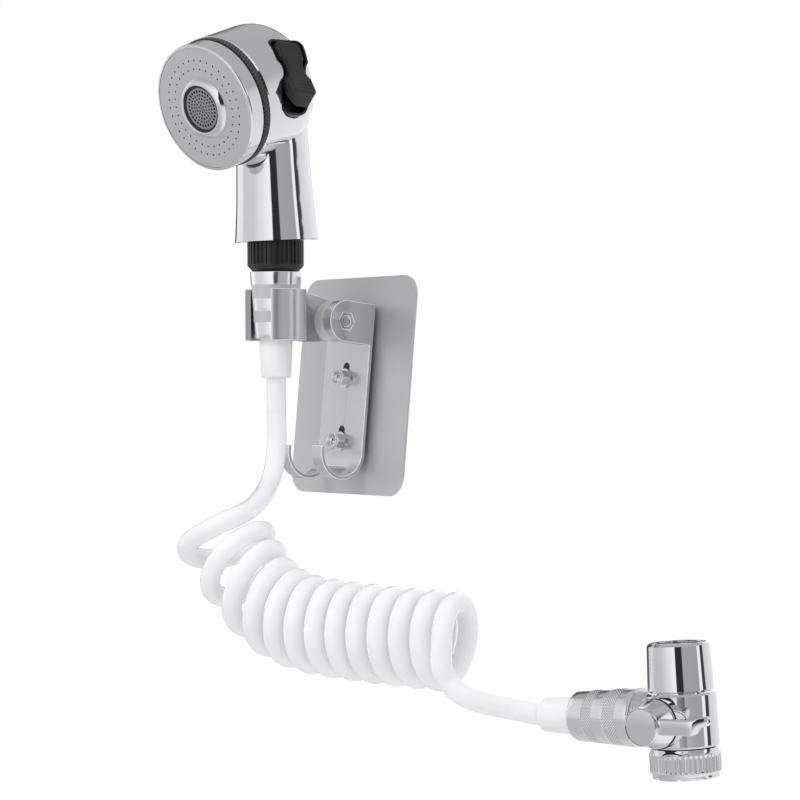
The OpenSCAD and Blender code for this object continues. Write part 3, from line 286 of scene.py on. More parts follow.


# a copy of a part with a narrow bevel along its sharp edges, painted bright as a highlight; where it
# is halved, its flat faces are first made whole again on either side of the cut
def edged(name, width, cuts, s):
    bm = bmesh.new()
    bm.from_mesh(nodes[name].data)
    bmesh.ops.remove_doubles(bm, verts=bm.verts, dist=mergeWithin["part"])
    for point, normal in cuts:
        cut = bmesh.ops.bisect_plane(bm, geom=bm.verts[:] + bm.edges[:] + bm.faces[:], plane_co=point,
                                     plane_no=normal)
        for item in cut["geom_cut"]:
            if isinstance(item, bmesh.types.BMEdge):
                item.seam = True
    if cuts:
        bmesh.ops.dissolve_limit(bm, angle_limit=math.radians(s["flat"]), verts=bm.verts, edges=bm.edges,
                                 delimit={"SEAM"})
    mesh = bpy.data.meshes.new(name + "_edged")
    bm.to_mesh(mesh)
    bm.free()
    mesh.shade_smooth()
    mesh.set_sharp_from_angle(angle=math.radians(s["angle"]))
    piece = addObject(name + "_edged", mesh)
    broken = piece.modifiers.new("broken_edge", "BEVEL")
    broken.width, broken.segments, broken.angle_limit = width, s["segments"], math.radians(s["angle"])
    broken.limit_method, broken.harden_normals, broken.use_clamp_overlap = "ANGLE", True, False
    broken.material, broken.miter_outer = 1, "MITER_SHARP"  # the second material is the bevel's painted highlight
    return dress(piece, name)


edgedPieces = [edged(name, width, halving.get(name, ()), edging) for name, width in edging["widths"].items()]
print("edges broken:", len(edgedPieces))


# turned surface: each row of radius and height, in millimetres, goes once round the z axis; relief is
# added to its radius and lift to its height; where closed, the last row joins the first
def turned(name, profile, columns, place, relief=0, lift=0, closed=True, sharp=35):
    radius, height = np.asarray(profile, float).T
    angle = np.arange(columns) * 2 * math.pi / columns
    radius = radius[:, None] + relief + 0 * angle
    height = height[:, None] + lift + 0 * angle
    points = np.stack([radius * np.cos(angle), radius * np.sin(angle), height], -1) * mm
    return meshObject(name, points, gridFaces(len(profile), columns, closedRows=closed), sharp, place)


# a piece's points in millimetres, seen from a place
def pointsFrom(piece, place):
    points = np.empty(len(piece.data.vertices) * 3)
    piece.data.vertices.foreach_get("co", points)
    there = np.array(place.inverted())
    return (points.reshape(-1, 3) @ there[:3, :3].T + there[:3, 3]) / mm


# how deep each point lies in a hole or groove, 0 to 1, for the piece's material to paint as shade
def markPaintedShadeDepth(piece, depth):
    piece.data.attributes.new("pit", "FLOAT", "POINT").data.foreach_set("value", depth.astype(np.float32))


# from 0 up to 1 and back once for each whole number
def ramped(x):
    return 1 - 2 * np.abs(x - np.floor(x) - 0.5)


# from 0 at low to 1 at high, level at both ends
def eased(x, low, high):
    f = np.clip((x - low) / (high - low), 0, 1)
    return f * f * (3 - 2 * f)


# hose nuts with two bands of diamond knurling, in millimetres; sunk is the share of a tooth's height
# that lies inside the plain cone, and shade how deep the painted shade in the grooves starts and is
# darkest, as shares of that height
hoseNut = dict(wide=12, narrow=10.2, length=31.5, chamfer=0.6, edge=0.18, rows=14,
               bore=10.35, boreLength=11.5, boreEdge=0.3, inner=9, lip=2, sleeve=7.8,
               bands=((6.3, 12.6), (18.6, 23.7)), rowStep=0.12, bandEnd=0.02,
               teeth=56, perTooth=12, pitch=1.25, depth=0.3, sunk=0.75, shade=(0.25, 0.6))


# a cone whose radius falls evenly along it; in the bands, the lower of two ridge waves that slant
# opposite ways round it leaves the diamonds standing
def makeHoseNut(name, part, place, s):
    end, edge, bands = s["length"], s["edge"], s["bands"]
    down = np.concatenate([np.linspace(s["chamfer"], end - s["chamfer"], s["rows"])]
                          + [np.arange(low, high, s["rowStep"]) for low, high in bands]
                          + [(low - s["bandEnd"], high + s["bandEnd"]) for low, high in bands])
    down = np.unique(down.round(3))
    outer = s["wide"] - (s["wide"] - s["narrow"]) * down / end
    foot = outer[-1]
    before = [(s["bore"], -s["boreLength"]), (s["bore"], -s["boreEdge"]), (s["bore"] + s["boreEdge"], 0),
              (s["wide"] - s["chamfer"], 0), (s["wide"] - edge, -edge)]
    after = [(foot - edge, edge - end), (foot - s["chamfer"], -end), (s["sleeve"], -end),
             (s["sleeve"], s["lip"] - end), (s["inner"], s["lip"] - end), (s["inner"], -s["boreLength"])]
    profile = np.vstack([before, np.column_stack([outer, -down]), after])
    z = profile[:, 1:]
    angle = np.arange(s["teeth"] * s["perTooth"]) / s["perTooth"]
    diamonds = np.minimum(ramped(angle + z / s["pitch"]), ramped(angle - z / s["pitch"]))
    inBand = np.zeros(len(profile))
    for low, high in bands:
        inBand[len(before):-len(after)] += (down >= low) & (down < high)
    relief = s["depth"] * (diamonds - s["sunk"]) * inBand[:, None]
    piece = turned(name, profile, len(angle), place, relief, sharp=60)
    x, y, z = pointsFrom(piece, place).T
    away = np.hypot(x, y) - (s["wide"] + (s["wide"] - s["narrow"]) * z / end)
    inBand = sum((z < -low) & (z > -high) for low, high in bands) > 0
    # painted shade in the grooves of the bands
    markPaintedShadeDepth(piece, eased(-away / s["depth"], *s["shade"]) * inBand * (away > -s["depth"]))
    return dress(piece, part)


hoseNuts = [makeHoseNut("hose_nut_upper_knurled", "hose_nut_upper", atNut, hoseNut),
            makeHoseNut("hose_nut_lower_knurled", "hose_nut_lower", atTapNut, hoseNut)]

# black grip ring with slanted teeth like the strands of a rope, in millimetres
gripRing = dict(radius=30.0, inner=25.8, low=8.62, high=12.38, rows=12, crown=0.35, teeth=104, perTooth=10,
                twist=1.2, depth=0.8, fullness=0.92, shade=(0.12, 0.56))


# each strand is a flattened half circle round the ring, and moves on by the twist, in strands, from one
# edge to the other; the ring's edges fall off by the cube of their distance from its middle
def makeGripRing(s):
    across = np.linspace(0, 1, s["rows"])
    crown = s["crown"] * np.abs(2 * across - 1) ** 3
    rows = np.column_stack([s["radius"] - crown, s["low"] + across * (s["high"] - s["low"])])
    profile = np.vstack([[(s["inner"], s["low"])], rows, [(s["inner"], s["high"])]])
    angle = np.arange(s["teeth"] * s["perTooth"]) / s["perTooth"]
    strand = 2 * np.mod(angle + s["twist"] * across[:, None], 1) - 1
    relief = np.zeros((len(profile), len(angle)))
    relief[1:-1] = s["depth"] * (np.sqrt(1 - s["fullness"] * strand ** 2) - 1)
    piece = turned("grip_ring_roped", profile, len(angle), atHead, relief, sharp=60)
    x, y, _ = pointsFrom(piece, atHead).T
    # painted shade in the gaps between the strands
    markPaintedShadeDepth(piece, eased(s["radius"] - np.hypot(x, y), *s["shade"]))
    return dress(piece, "grip_ring")


ropedRing = makeGripRing(gripRing)

# aerator, in millimetres: bright bevelled ring, thin black rim and a face with circles of small holes,
# each circle with its radius, count and hole size; wall is where a hole's side starts and ends, as a
# share of its size
aerator = dict(ring=[(10.8, 9), (10.8, -1.8), (10.95, -2.05), (11.3, -2.15), (11.9, -2), (12.9, -1.15),
                     (13.7, -0.3), (13.95, 0), (13.9, 0.2), (12.7, 0.2), (12.4, 1.6), (12.4, 9)],
               rim=[(10.72, 11.5), (10.72, -1.6), (10.55, -1.75), (10.0, -1.75), (9.75, -1.55), (9.65, 11.5)],
               radius=9.62, pole=0.001, rowsFrom=0.1, rowStep=0.11, columns=480, front=-1.15, back=-0.1,
               crown=0.15, crownWidth=4, depth=0.9, centreHole=0.4, wall=(0.75, 1.15), squash=0.95,
               circles=((1.5, 6, 0.4), (3.05, 12, 0.4), (4.65, 18, 0.42), (6.25, 24, 0.46), (8.0, 29, 0.58)),
               shade=(0.12, 0.6), ringColumns=128)


# the face swells a little at its middle and sinks where a point lies within a hole, measured by the
# larger of its distances across and along the circle
def makeAerator(s):
    radius = np.concatenate([[s["pole"]], np.arange(s["rowsFrom"], s["radius"], s["rowStep"]), [s["radius"]]])
    angle = np.arange(s["columns"]) / s["columns"]
    pit = 1 - eased(radius[:, None] / s["centreHole"] + 0 * angle, *s["wall"])
    for circle, count, hole in s["circles"]:
        along = (np.mod(angle * count, 1) - 0.5) * 2 * math.pi * circle / count
        away = np.maximum(np.abs(radius[:, None] - circle) / hole, np.abs(along) / (hole * s["squash"]))
        pit = np.maximum(pit, 1 - eased(away, *s["wall"]))
    swell = s["crown"] * np.exp(-(radius / s["crownWidth"]) ** 2)[:, None]
    back = [(s["radius"], s["back"]), (s["pole"], s["back"])]
    profile = np.vstack([np.column_stack([radius, 0 * radius]), back])
    lift = np.zeros((len(profile), len(angle)))
    lift[:len(radius)] = s["front"] - swell + s["depth"] * pit
    face = turned("aerator_face", profile, len(angle), atHead, lift=lift, closed=False, sharp=80)
    # painted shade in the holes, from low to full depth behind the face's front
    low, full = s["shade"]
    markPaintedShadeDepth(face, eased(pointsFrom(face, atHead)[:, 2], s["front"] + low, s["front"] + full))
    ring = turned("aerator_ring_bevelled", s["ring"], s["ringColumns"], atHead, sharp=40)
    rim = turned("aerator_rim", s["rim"], s["ringColumns"], atHead, sharp=40)
    return dress(face, "aerator_screen"), dress(ring, "aerator_ring"), dress(rim, "aerator_housing")


aeratorFace, aeratorRing, aeratorRim = makeAerator(aerator)

# rocker, in millimetres: waisted pad with rounded rims, grooves at both ends and a slanted lower end
rockerPad = dict(half=13.8, halfWidth=7.4, waist=5.2, notch=8, soften=13, corner=2.6, base=1.4, top=7.0,
                 rim=1.1, dish=0.5, slant=3.7, slantLength=2.5, taper=0.28, grooves=(10.8, 9.2, 7.6),
                 grooveWidth=0.42, grooveDepth=0.22, grooveEnd=(3.9, 4.4), rows=150, sideRows=3, rimRows=7,
                 topColumns=26)


# one ring of points for each place along the pad: up the side, round the rim, over the top and down
# again; its width is the lesser of the full one and a circular notch, softened, and its top a shallow
# cosine dish with a row of small grooves near each end
def makeRocker(s):
    half, rim, base, topRoom = s["half"], s["rim"], s["base"], s["top"] - s["rim"]
    z = np.linspace(-half, half, s["rows"])
    notch = s["waist"] + s["notch"] - np.sqrt(np.maximum(s["notch"] ** 2 - z ** 2, 0))
    width = np.where(np.abs(z) < s["notch"], np.minimum(notch, s["halfWidth"]), s["halfWidth"])
    window = np.hanning(s["soften"])
    width = np.convolve(np.pad(width, s["soften"] // 2, "edge"), window / window.sum(), "valid")
    inCorner = np.clip(np.abs(z) - (half - s["corner"]), 0, s["corner"])
    width = (width - s["corner"] + np.sqrt(s["corner"] ** 2 - inCorner ** 2))[:, None]
    toEnd = np.clip(np.abs(z) - (half - rim), 0, rim)
    endDrop = rim - np.sqrt(rim ** 2 - toEnd ** 2)
    top = (s["top"] - endDrop - s["dish"] * np.cos(z / half * math.pi / 2) ** 2)[:, None]
    wall = top - rim
    arc = np.radians(np.linspace(0, 90, s["rimRows"]))
    sideY = np.hstack([np.repeat(width, s["sideRows"], 1), width - rim + rim * np.cos(arc)])
    sideX = np.hstack([base + np.arange(s["sideRows"]) * (wall - base) / s["sideRows"],
                       wall + rim * np.sin(arc)])
    flat = (width - rim) * np.linspace(1, -1, s["topColumns"])[1:-1]
    groove = sum(np.exp(-((np.abs(z) - g) / (s["grooveWidth"] / 2)) ** 2) for g in s["grooves"])[:, None]
    crown = top - s["grooveDepth"] * groove * (1 - eased(np.abs(flat), *s["grooveEnd"]))
    x = np.hstack([sideX, crown, sideX[:, ::-1]])
    y = np.hstack([sideY, flat, -sideY[:, ::-1]])
    z = z[:, None] + 0 * x
    slanted = eased(-z, half - s["slantLength"], half) * np.clip((topRoom - x) / (topRoom - base), 0, 1)
    points = np.stack([x, y * (1 - s["taper"] * slanted), z - s["slant"] * slanted], -1) * mm
    place = atRocker @ turn("Y", -rocker["tilt"])
    return dress(meshObject("rocker_pad", points, cappedFaces(*x.shape), sharp=40, place=place), "rocker")


pad = makeRocker(rockerPad)

# outlet ring, in millimetres: smooth collar, rounded flutes and a slotted lip
outletRing = dict(collar=[(10.5, -10.9), (12.8, -10.9), (13.15, -11.05), (13.3, -11.5), (13.45, -12.1),
                          (13.8, -12.7), (14.1, -13.1)],
                  lip=[(14.0, -20.45), (13.3, -20.75), (13.2, -21), (13.2, -21.9), (13.2, -21.91),
                       (13.2, -22.4), (13.05, -22.75), (12.7, -22.9), (9.9, -22.9), (9.8, -22.9), (9, -22.9),
                       (9, -19.9), (10.5, -19.9)],
                  radius=14.1, flutes=44, perFlute=12, depth=0.5, sharpness=1.3, fluteTop=-13.3, fluteLow=-20.2,
                  fluteRows=18, topEnd=(-0.2, 0.9), lowEnd=(-0.1, 0.5), withinRadius=0.05,
                  slots=8, slotHalf=0.9, slotTop=-21.9, slotRadius=13.2, slotInner=9.85)


# the flutes are a raised cosine round the ring that fades at both ends; within a slot's width the
# lip's lower points are lifted to the slot's top
def makeOutletRing(s):
    flute = np.linspace(s["fluteTop"], s["fluteLow"], s["fluteRows"])
    profile = np.vstack([s["collar"], np.column_stack([np.full(len(flute), s["radius"]), flute]), s["lip"]])
    radius, z = profile[:, :1], profile[:, 1:]
    angle = np.arange(s["flutes"] * s["perFlute"]) / s["perFlute"]
    topFrom, topFull = s["topEnd"]
    lowFrom, lowFull = s["lowEnd"]
    cut = (eased(-z, topFrom - s["fluteTop"], topFull - s["fluteTop"])
           * eased(z, s["fluteLow"] + lowFrom, s["fluteLow"] + lowFull)
           * (radius > s["radius"] - s["withinRadius"]))
    relief = -s["depth"] * cut * (0.5 - 0.5 * np.cos(2 * math.pi * angle)) ** s["sharpness"]
    slotSpace = 2 * math.pi * s["slotRadius"] / s["slots"]
    offSlot = (np.mod(angle / s["flutes"] * s["slots"], 1) - 0.5) * slotSpace
    inSlot = (np.abs(offSlot) < s["slotHalf"]) & (radius > s["slotInner"]) & (z < s["slotTop"])
    lift = np.where(inSlot, s["slotTop"] - z, 0)
    piece = turned("outlet_ring_fluted", profile, len(angle), atTap, relief, lift, sharp=40)
    return dress(piece, "outlet_ring")


flutedRing = makeOutletRing(outletRing)

# threads, in millimetres: on the neck that takes the lower nut, and inside the tap nut
threads = dict(columns=160, perPitch=8, fade=0.5, flank=(0.15, 0.85),
               neck=dict(start=-0.5, end=4.6, root=10.22, crest=0.42, pitch=1.25),
               inlet=dict(start=22.4, end=29.4, root=10.97, crest=-0.42, pitch=1.1))


# one ridge that climbs by the pitch in each turn and fades at both ends
def makeThread(name, place, body, s, t):
    z = np.arange(t["start"], t["end"], t["pitch"] / s["perPitch"])
    around = np.arange(s["columns"]) / s["columns"]
    fade = eased(z, t["start"], t["start"] + s["fade"]) * (1 - eased(z, t["end"] - s["fade"], t["end"]))
    relief = t["crest"] * fade[:, None] * eased(ramped(z[:, None] / t["pitch"] - around), *s["flank"])
    profile = np.column_stack([np.full(len(z), t["root"]), z])
    piece = turned(name, profile, s["columns"], place, relief, closed=False, sharp=60)
    return dress(piece, "diverter_body", body, instead=False)


threadPieces = [makeThread("neck_thread", atTapNut, "wall_fitting", threads, threads["neck"]),
                makeThread("inlet_thread", atTap, "inlet_swivel", threads, threads["inlet"])]

# lever, in millimetres: flared hub with its flat cap, and an arm that bends back at its round tip;
# rows are the arm's stretches, each with its start, end and count
lever = dict(hub=[(4.3, 18.25), (9.35, 18.25), (9.6, 18.45), (9.6, 18.9), (9.4, 19.5), (7.55, 26.2), (7.4, 27),
                  (7.4, 28.05), (7.32, 28.3), (7.2, 28.4), (7.08, 28.3), (7.08, 27.2), (4.3, 27.2)],
             cap=[(0.001, 27.25), (6.95, 27.25), (6.98, 28.2), (6.85, 28.38), (6.5, 28.44), (0.001, 28.5)],
             along=(3, 20, 21.6, 22.3, 23, 23.8, 25, 26.3, 26.7, 26.95),
             low=(-3.3, -3.2, -3.1, -2.6, -1.5, -0.5, 0, 0.3, 0.6, 1.3),
             high=(3, 2.95, 3, 3.1, 3.35, 3.7, 3.95, 4, 3.7, 3), rows=((3, 20, 12), (20.3, 26.95, 34)),
             back=22, depth=4.8, bend=22, bendSoftness=0.9, droop=30, thinning=0.25, corner=1.3, cornerPoints=6,
             ring=dict(middle=8.5, out=1.45, half=0.78, height=17.8, step=20), hubColumns=128, columns=96)


# round-cornered rectangles, one for each place: a quarter circle of points at each corner in turn,
# with straight sides between them
def roundedRings(low, high, back, front, corner, perCorner):
    arc = np.radians(np.linspace(0, 90, perCorner))
    r = np.minimum(corner, np.minimum(high - low, front - back) / 2 - 0.01)  # so some straight is always left
    middles = ((high - r, front - r), (low + r, front - r), (low + r, back + r), (high - r, back + r))
    corners = []
    for k, (y, z) in enumerate(middles):
        a = arc + k * math.pi / 2
        corners.append(np.stack([y[:, None] + r[:, None] * np.cos(a), z[:, None] + r[:, None] * np.sin(a)], -1))
    return np.concatenate(corners, 1)


# the arm's outline is read off straight lines between the listed places; past the bend its back
# falls off evenly, eased in by a soft corner
def makeLever(s):
    x = np.concatenate([np.linspace(*stretch) for stretch in s["rows"]])
    low, high = np.interp(x, s["along"], s["low"]), np.interp(x, s["along"], s["high"])
    over = s["bendSoftness"] * np.logaddexp(0, (x - s["bend"]) / s["bendSoftness"])
    back = s["back"] - over * math.tan(math.radians(s["droop"]))
    front = back + s["depth"] - s["thinning"] * over
    section = roundedRings(low, high, back, front, s["corner"], s["cornerPoints"])
    points = np.concatenate([np.broadcast_to(x[:, None, None], section.shape[:2] + (1,)), section], -1)
    arm = meshObject("lever_arm", points * mm, cappedFaces(*points.shape[:2]), sharp=50, place=atStem)
    hub = turned("lever_hub", s["hub"], s["hubColumns"], atStem, sharp=30)
    cap = turned("lever_cap_disc", s["cap"], s["columns"], atStem, closed=False, sharp=30)
    r = s["ring"]
    a = np.radians(np.arange(0, 360, r["step"]))
    section = np.column_stack([r["middle"] + r["out"] * np.cos(a), r["height"] + r["half"] * np.sin(a)])
    ring = turned("lever_ring_round", section, s["columns"], atStem, sharp=60)
    return (dress(arm, "lever", instead=False), dress(hub, "lever"), dress(cap, "lever_cap"),
            dress(ring, "lever_ring"))


madePieces = [*edgedPieces, *hoseNuts, ropedRing, aeratorFace, aeratorRing, aeratorRim, pad, flutedRing,
              *threadPieces, *makeLever(lever)]
print("detailed pieces made:", len(madePieces))


# a material with its shader; keywords are the shader's own sockets, with _ for a space
def startMaterial(name, **sockets):
    material = bpy.data.materials.new(name)
    material.use_nodes = True
    shader = material.node_tree.nodes["Principled BSDF"]
    for socket, value in sockets.items():
        shader.inputs[socket.replace("_", " ")].default_value = value
    return material, shader


# a value is another node's socket, which is linked, or a plain one, which is set
def feed(material, socket, value):
    if isinstance(value, bpy.types.NodeSocket):
        material.node_tree.links.new(value, socket)
    else:
        socket.default_value = value


def addNode(material, kind, inputs=None, **settings):
    made = material.node_tree.nodes.new(kind)
    for key, value in settings.items():
        setattr(made, key, value)
    for key, value in (inputs or {}).items():
        feed(material, made.inputs[key], value)
    return made


# the same for a shader's own sockets, by name
def wire(material, shader, **sockets):
    for socket, source in sockets.items():
        feed(material, shader.inputs[socket.replace("_", " ")], source)


def showOn(material, source):
    material.node_tree.links.new(source, material.node_tree.nodes["Material Output"].inputs["Surface"])


noiseSpan = (0.3, 0.7)  # the stretch of a noise's values that is spread from one look to the other


# noise on the piece's own coordinates, in metres; stretch draws it out along an axis
def noiseOf(material, scale, detail, stretch=(1, 1, 1)):
    coordinates = addNode(material, "ShaderNodeTexCoord").outputs["Object"]
    mapping = addNode(material, "ShaderNodeMapping", {"Vector": coordinates, "Scale": stretch})
    noise = addNode(material, "ShaderNodeTexNoise",
                    {"Vector": mapping.outputs[0], "Scale": scale, "Detail": detail})
    return noise.outputs["Fac"]


def rangeOf(material, value, low, high):
    return addNode(material, "ShaderNodeMapRange",
                   {"Value": value, "From Min": noiseSpan[0], "From Max": noiseSpan[1], "To Min": low,
                    "To Max": high}).outputs[0]


def blendOf(material, value, *colours):
    ramp = addNode(material, "ShaderNodeValToRGB", {"Fac": value})
    for element, position, colour in zip(ramp.color_ramp.elements, noiseSpan, colours):
        element.position, element.color = position, (*colour, 1)
    return ramp.outputs["Color"]


# a mix node's colour sockets share their names with its number sockets, so they are picked by kind
def mixOf(material, share, colourA, colourB):
    mixed = addNode(material, "ShaderNodeMix", {"Factor": share}, data_type="RGBA")
    for socket in mixed.inputs:
        if socket.type == "RGBA":
            feed(material, socket, {"A": colourA, "B": colourB}[socket.name])
    return next(socket for socket in mixed.outputs if socket.type == "RGBA")


def bumpOf(material, height, strength, distance):
    return addNode(material, "ShaderNodeBump",
                   {"Height": height, "Strength": strength, "Distance": distance}).outputs[0]


def tinted(tone, tint):
    return tuple(tone * c for c in tint)


# bright plating: slight cloudiness in its gloss and a very shallow ripple, so many times finer
platedLook = dict(cool=(0.965, 0.962, 0.99), warm=(1, 0.997, 1.024), finer=9, rippleHeight=0.00003)


def plated(name, tone, rough, ripple, scale=60, metal=1.0, s=platedLook):
    material, shader = startMaterial(name, Metallic=metal)
    cloud = noiseOf(material, scale, detail=4)
    fine = noiseOf(material, scale * s["finer"], detail=2)
    wire(material, shader,
         Base_Color=blendOf(material, cloud, tinted(tone, s["cool"]), tinted(tone, s["warm"])),
         Roughness=rangeOf(material, cloud, *rough),
         Normal=bumpOf(material, fine, ripple, s["rippleHeight"]))
    return material


# metal drawn with fine lines along one direction of the piece, over broad and rounder clouds
brushedLook = dict(cool=(0.96, 0.955, 0.99), warm=(1, 0.995, 1.03), broadScale=28, broadStretch=0.65,
                   offset=0.25, lineHeight=0.00004)


def brushed(name, tone, stretch, rough, depth, scale, metal=0.85, s=brushedLook):
    material, shader = startMaterial(name, Metallic=metal)
    lines = noiseOf(material, scale, detail=2, stretch=stretch)
    rounder = tuple(1 - s["broadStretch"] + s["broadStretch"] * along for along in stretch)
    broad = noiseOf(material, s["broadScale"], detail=3, stretch=rounder)
    both = addNode(material, "ShaderNodeMath", {0: lines, 1: broad, 2: s["offset"]}, operation="MULTIPLY_ADD")
    wire(material, shader,
         Base_Color=blendOf(material, both.outputs[0], tinted(tone, s["cool"]), tinted(tone, s["warm"])),
         Roughness=rangeOf(material, lines, *rough),
         Normal=bumpOf(material, lines, depth, s["lineHeight"]))
    return material


# moulded plastic or rubber: fine grain over a broad unevenness
mouldedLook = dict(broadScale=45, grainHeight=0.00006)


def moulded(name, dark, light, rough, grain=0.2, grainScale=1400, s=mouldedLook, **extra):
    material, shader = startMaterial(name, **extra)
    broad = noiseOf(material, s["broadScale"], detail=4)
    fine = noiseOf(material, grainScale, detail=2)
    wire(material, shader,
         Base_Color=blendOf(material, broad, dark, light),
         Roughness=rangeOf(material, broad, *rough),
         Normal=bumpOf(material, fine, grain, s["grainHeight"]))
    return material


# glossy milky tube: light enters a little way, it has a faint painted glow, and the wall is faintly uneven
milkyLook = dict(dark=(0.67, 0.67, 0.682), light=(0.725, 0.725, 0.733), rough=(0.16, 0.28), broadScale=55,
                 fineScale=420, fineStrength=0.06, fineHeight=0.0001, reach=(1.0, 0.97, 0.95),
                 glow=(0.96, 0.965, 1, 1), paintedGlowStrength=0.165)


def milky(name, s):
    # the emission is painted light: a faint glow that lightens the tube's shaded sides
    material, shader = startMaterial(name, IOR=1.46, Subsurface_Weight=0.6, Subsurface_Scale=0.006,
                                     Subsurface_Radius=s["reach"], Coat_Weight=0.3, Coat_Roughness=0.06,
                                     Emission_Color=s["glow"], Emission_Strength=s["paintedGlowStrength"])
    broad = noiseOf(material, s["broadScale"], detail=3)
    fine = noiseOf(material, s["fineScale"], detail=2)
    wire(material, shader,
         Base_Color=blendOf(material, broad, s["dark"], s["light"]),
         Roughness=rangeOf(material, broad, *s["rough"]),
         Normal=bumpOf(material, fine, s["fineStrength"], s["fineHeight"]))
    return material


# the same material with painted shade: darker in the depth of each hole or groove
def withPaintedShade(material, shade):
    shader = material.node_tree.nodes["Principled BSDF"]
    surface = shader.inputs["Base Color"].links[0].from_socket
    depth = addNode(material, "ShaderNodeAttribute", attribute_name="pit").outputs["Fac"]
    wire(material, shader, Base_Color=mixOf(material, depth, surface, (shade, shade, shade, 1)))
    return material


# one finish for each of the record's slots; the drawn metals' lines run level or upright, or not at all
level, upright, even = (0.02, 0.02, 1), (1, 1, 0.02), (1, 1, 1)
finish = dict(
    plated_plastic=plated("bright_plated_plastic", tone=0.88, rough=(0.03, 0.06), ripple=0.05),
    plated_brass=plated("bright_plated_brass", tone=0.88, rough=(0.02, 0.05), ripple=0.03),
    plate_steel=brushed("brushed_plate_steel", tone=0.57, stretch=upright, rough=(0.36, 0.44), depth=0.04,
                        scale=3200, metal=0.5),
    bracket_aluminium=brushed("satin_bracket_aluminium", tone=0.7, stretch=level, rough=(0.22, 0.27),
                              depth=0.015, scale=4200, metal=0.8),
    fastener_steel=plated("polished_fastener_steel", tone=0.8, rough=(0.1, 0.2), ripple=0.15, scale=200),
    face_steel=brushed("satin_face_steel", tone=0.66, stretch=even, rough=(0.3, 0.36), depth=0.08, scale=2600),
    aerator_grey=moulded("aerator_plastic", dark=(0.06, 0.06, 0.065), light=(0.1, 0.1, 0.105),
                         rough=(0.35, 0.5)),
    black_plastic=moulded("black_plastic", dark=(0.007, 0.007, 0.008), light=(0.014, 0.014, 0.015),
                          rough=(0.3, 0.42), grain=0.25),
    black_rubber=moulded("black_rubber", dark=(0.012, 0.012, 0.012), light=(0.025, 0.025, 0.025),
                         rough=(0.6, 0.75), grain=0.3),
    nylon=moulded("pale_nylon", dark=(0.6, 0.6, 0.59), light=(0.72, 0.72, 0.71), rough=(0.35, 0.5), grain=0.15),
    brass=plated("turned_brass", tone=0.7, rough=(0.15, 0.25), ripple=0.1),
    hose_white=milky("milky_hose_painted_glow", milkyLook),
    sleeve_white=moulded("satin_sleeve", dark=(0.8, 0.8, 0.815), light=(0.86, 0.86, 0.87), rough=(0.3, 0.42),
                         grain=0.1, grainScale=900, Subsurface_Weight=0.15, Subsurface_Scale=0.003),
    inner_plastic=moulded("inner_plastic", dark=(0.6, 0.6, 0.58), light=(0.68, 0.68, 0.66), rough=(0.4, 0.5)),
    pad_foam=moulded("adhesive_foam", dark=(0.7, 0.7, 0.7), light=(0.8, 0.8, 0.8), rough=(0.7, 0.85), grain=0.5,
                     grainScale=2500),
)
# painted highlight for the bevels: a near-white edge, lighter than the metals it borders
paintedEdgeHighlight = plated("edge_painted_highlight", tone=0.97, rough=(0.3, 0.4), ripple=0.05, scale=300, metal=0.35)
# the aerator face, with painted shade deep in its holes
paintedShadeFace = withPaintedShade(moulded("aerator_face_painted_shade", dark=(0.2, 0.2, 0.21), light=(0.26, 0.26, 0.275),
                            rough=(0.35, 0.5)), shade=0.004)
# the knurled plating: painted lighter than the other plating, with painted shade in its grooves
knurlPaintedLightAndShade = withPaintedShade(plated("knurled_plating_painted_light_and_shade", tone=0.99, rough=(0.16, 0.24), ripple=0.1, scale=200),
                          shade=0.7)
# the roped ring's plastic, with painted shade in the gaps between its strands
ropedPaintedShadePlastic = withPaintedShade(moulded("roped_black_plastic_painted_shade", dark=(0.035, 0.035, 0.037), light=(0.05, 0.05, 0.052),
                                rough=(0.16, 0.24), grain=0.15), shade=0.002)
for name, part in nodes.items():
    part.data.materials.clear()
    part.data.materials.append(finish[slotOf[name]])
for piece in madePieces:
    piece.data.materials.append(finish[piece["finish"]])
    piece.data.materials.append(paintedEdgeHighlight)
for piece in (hosePiece, neckPiece):
    piece.data.materials.append(finish["hose_white"])
ownFinish = [(aeratorFace, paintedShadeFace), (hoseNuts[0], knurlPaintedLightAndShade), (hoseNuts[1], knurlPaintedLightAndShade),
             (ropedRing, ropedPaintedShadePlastic), (aeratorRim, finish["black_plastic"])]
for piece, material in ownFinish:
    piece.data.materials[0] = material
print("materials made:", len(finish))

# floor: most of it shows as glowing white, and the rest as plain and shaded, so that a shadow is kept
floorLook = dict(size=14, drop=0.13, tone=0.9, rough=0.9, shine=0.1, white=0.82, glow=1.1)


def makeFloor(s):
    low = cadBox[0].z - s["drop"]
    bpy.ops.mesh.primitive_plane_add(size=s["size"], location=(0, 0, low))
    floor = bpy.context.object
    floor.name = "studio_floor"
    material, shader = startMaterial("pale_floor", Roughness=s["rough"], Base_Color=(s["tone"],) * 3 + (1,),
                                     Specular_IOR_Level=s["shine"])
    rays = addNode(material, "ShaderNodeLightPath").outputs
    seen = rays["Is Camera Ray"]
    for other in ("Is Glossy Ray", "Is Transmission Ray"):
        seen = addNode(material, "ShaderNodeMath", {0: seen, 1: rays[other]}, operation="MAXIMUM").outputs[0]
    share = addNode(material, "ShaderNodeMath", {0: seen, 1: s["white"]}, operation="MULTIPLY")
    white = addNode(material, "ShaderNodeEmission", {"Color": (1, 1, 1, 1), "Strength": s["glow"]})
    mixed = addNode(material, "ShaderNodeMixShader",
                    {0: share.outputs[0], 1: shader.outputs[0], 2: white.outputs[0]})
    showOn(material, mixed.outputs[0])
    floor.data.materials.append(material)
    floor.visible_glossy = False


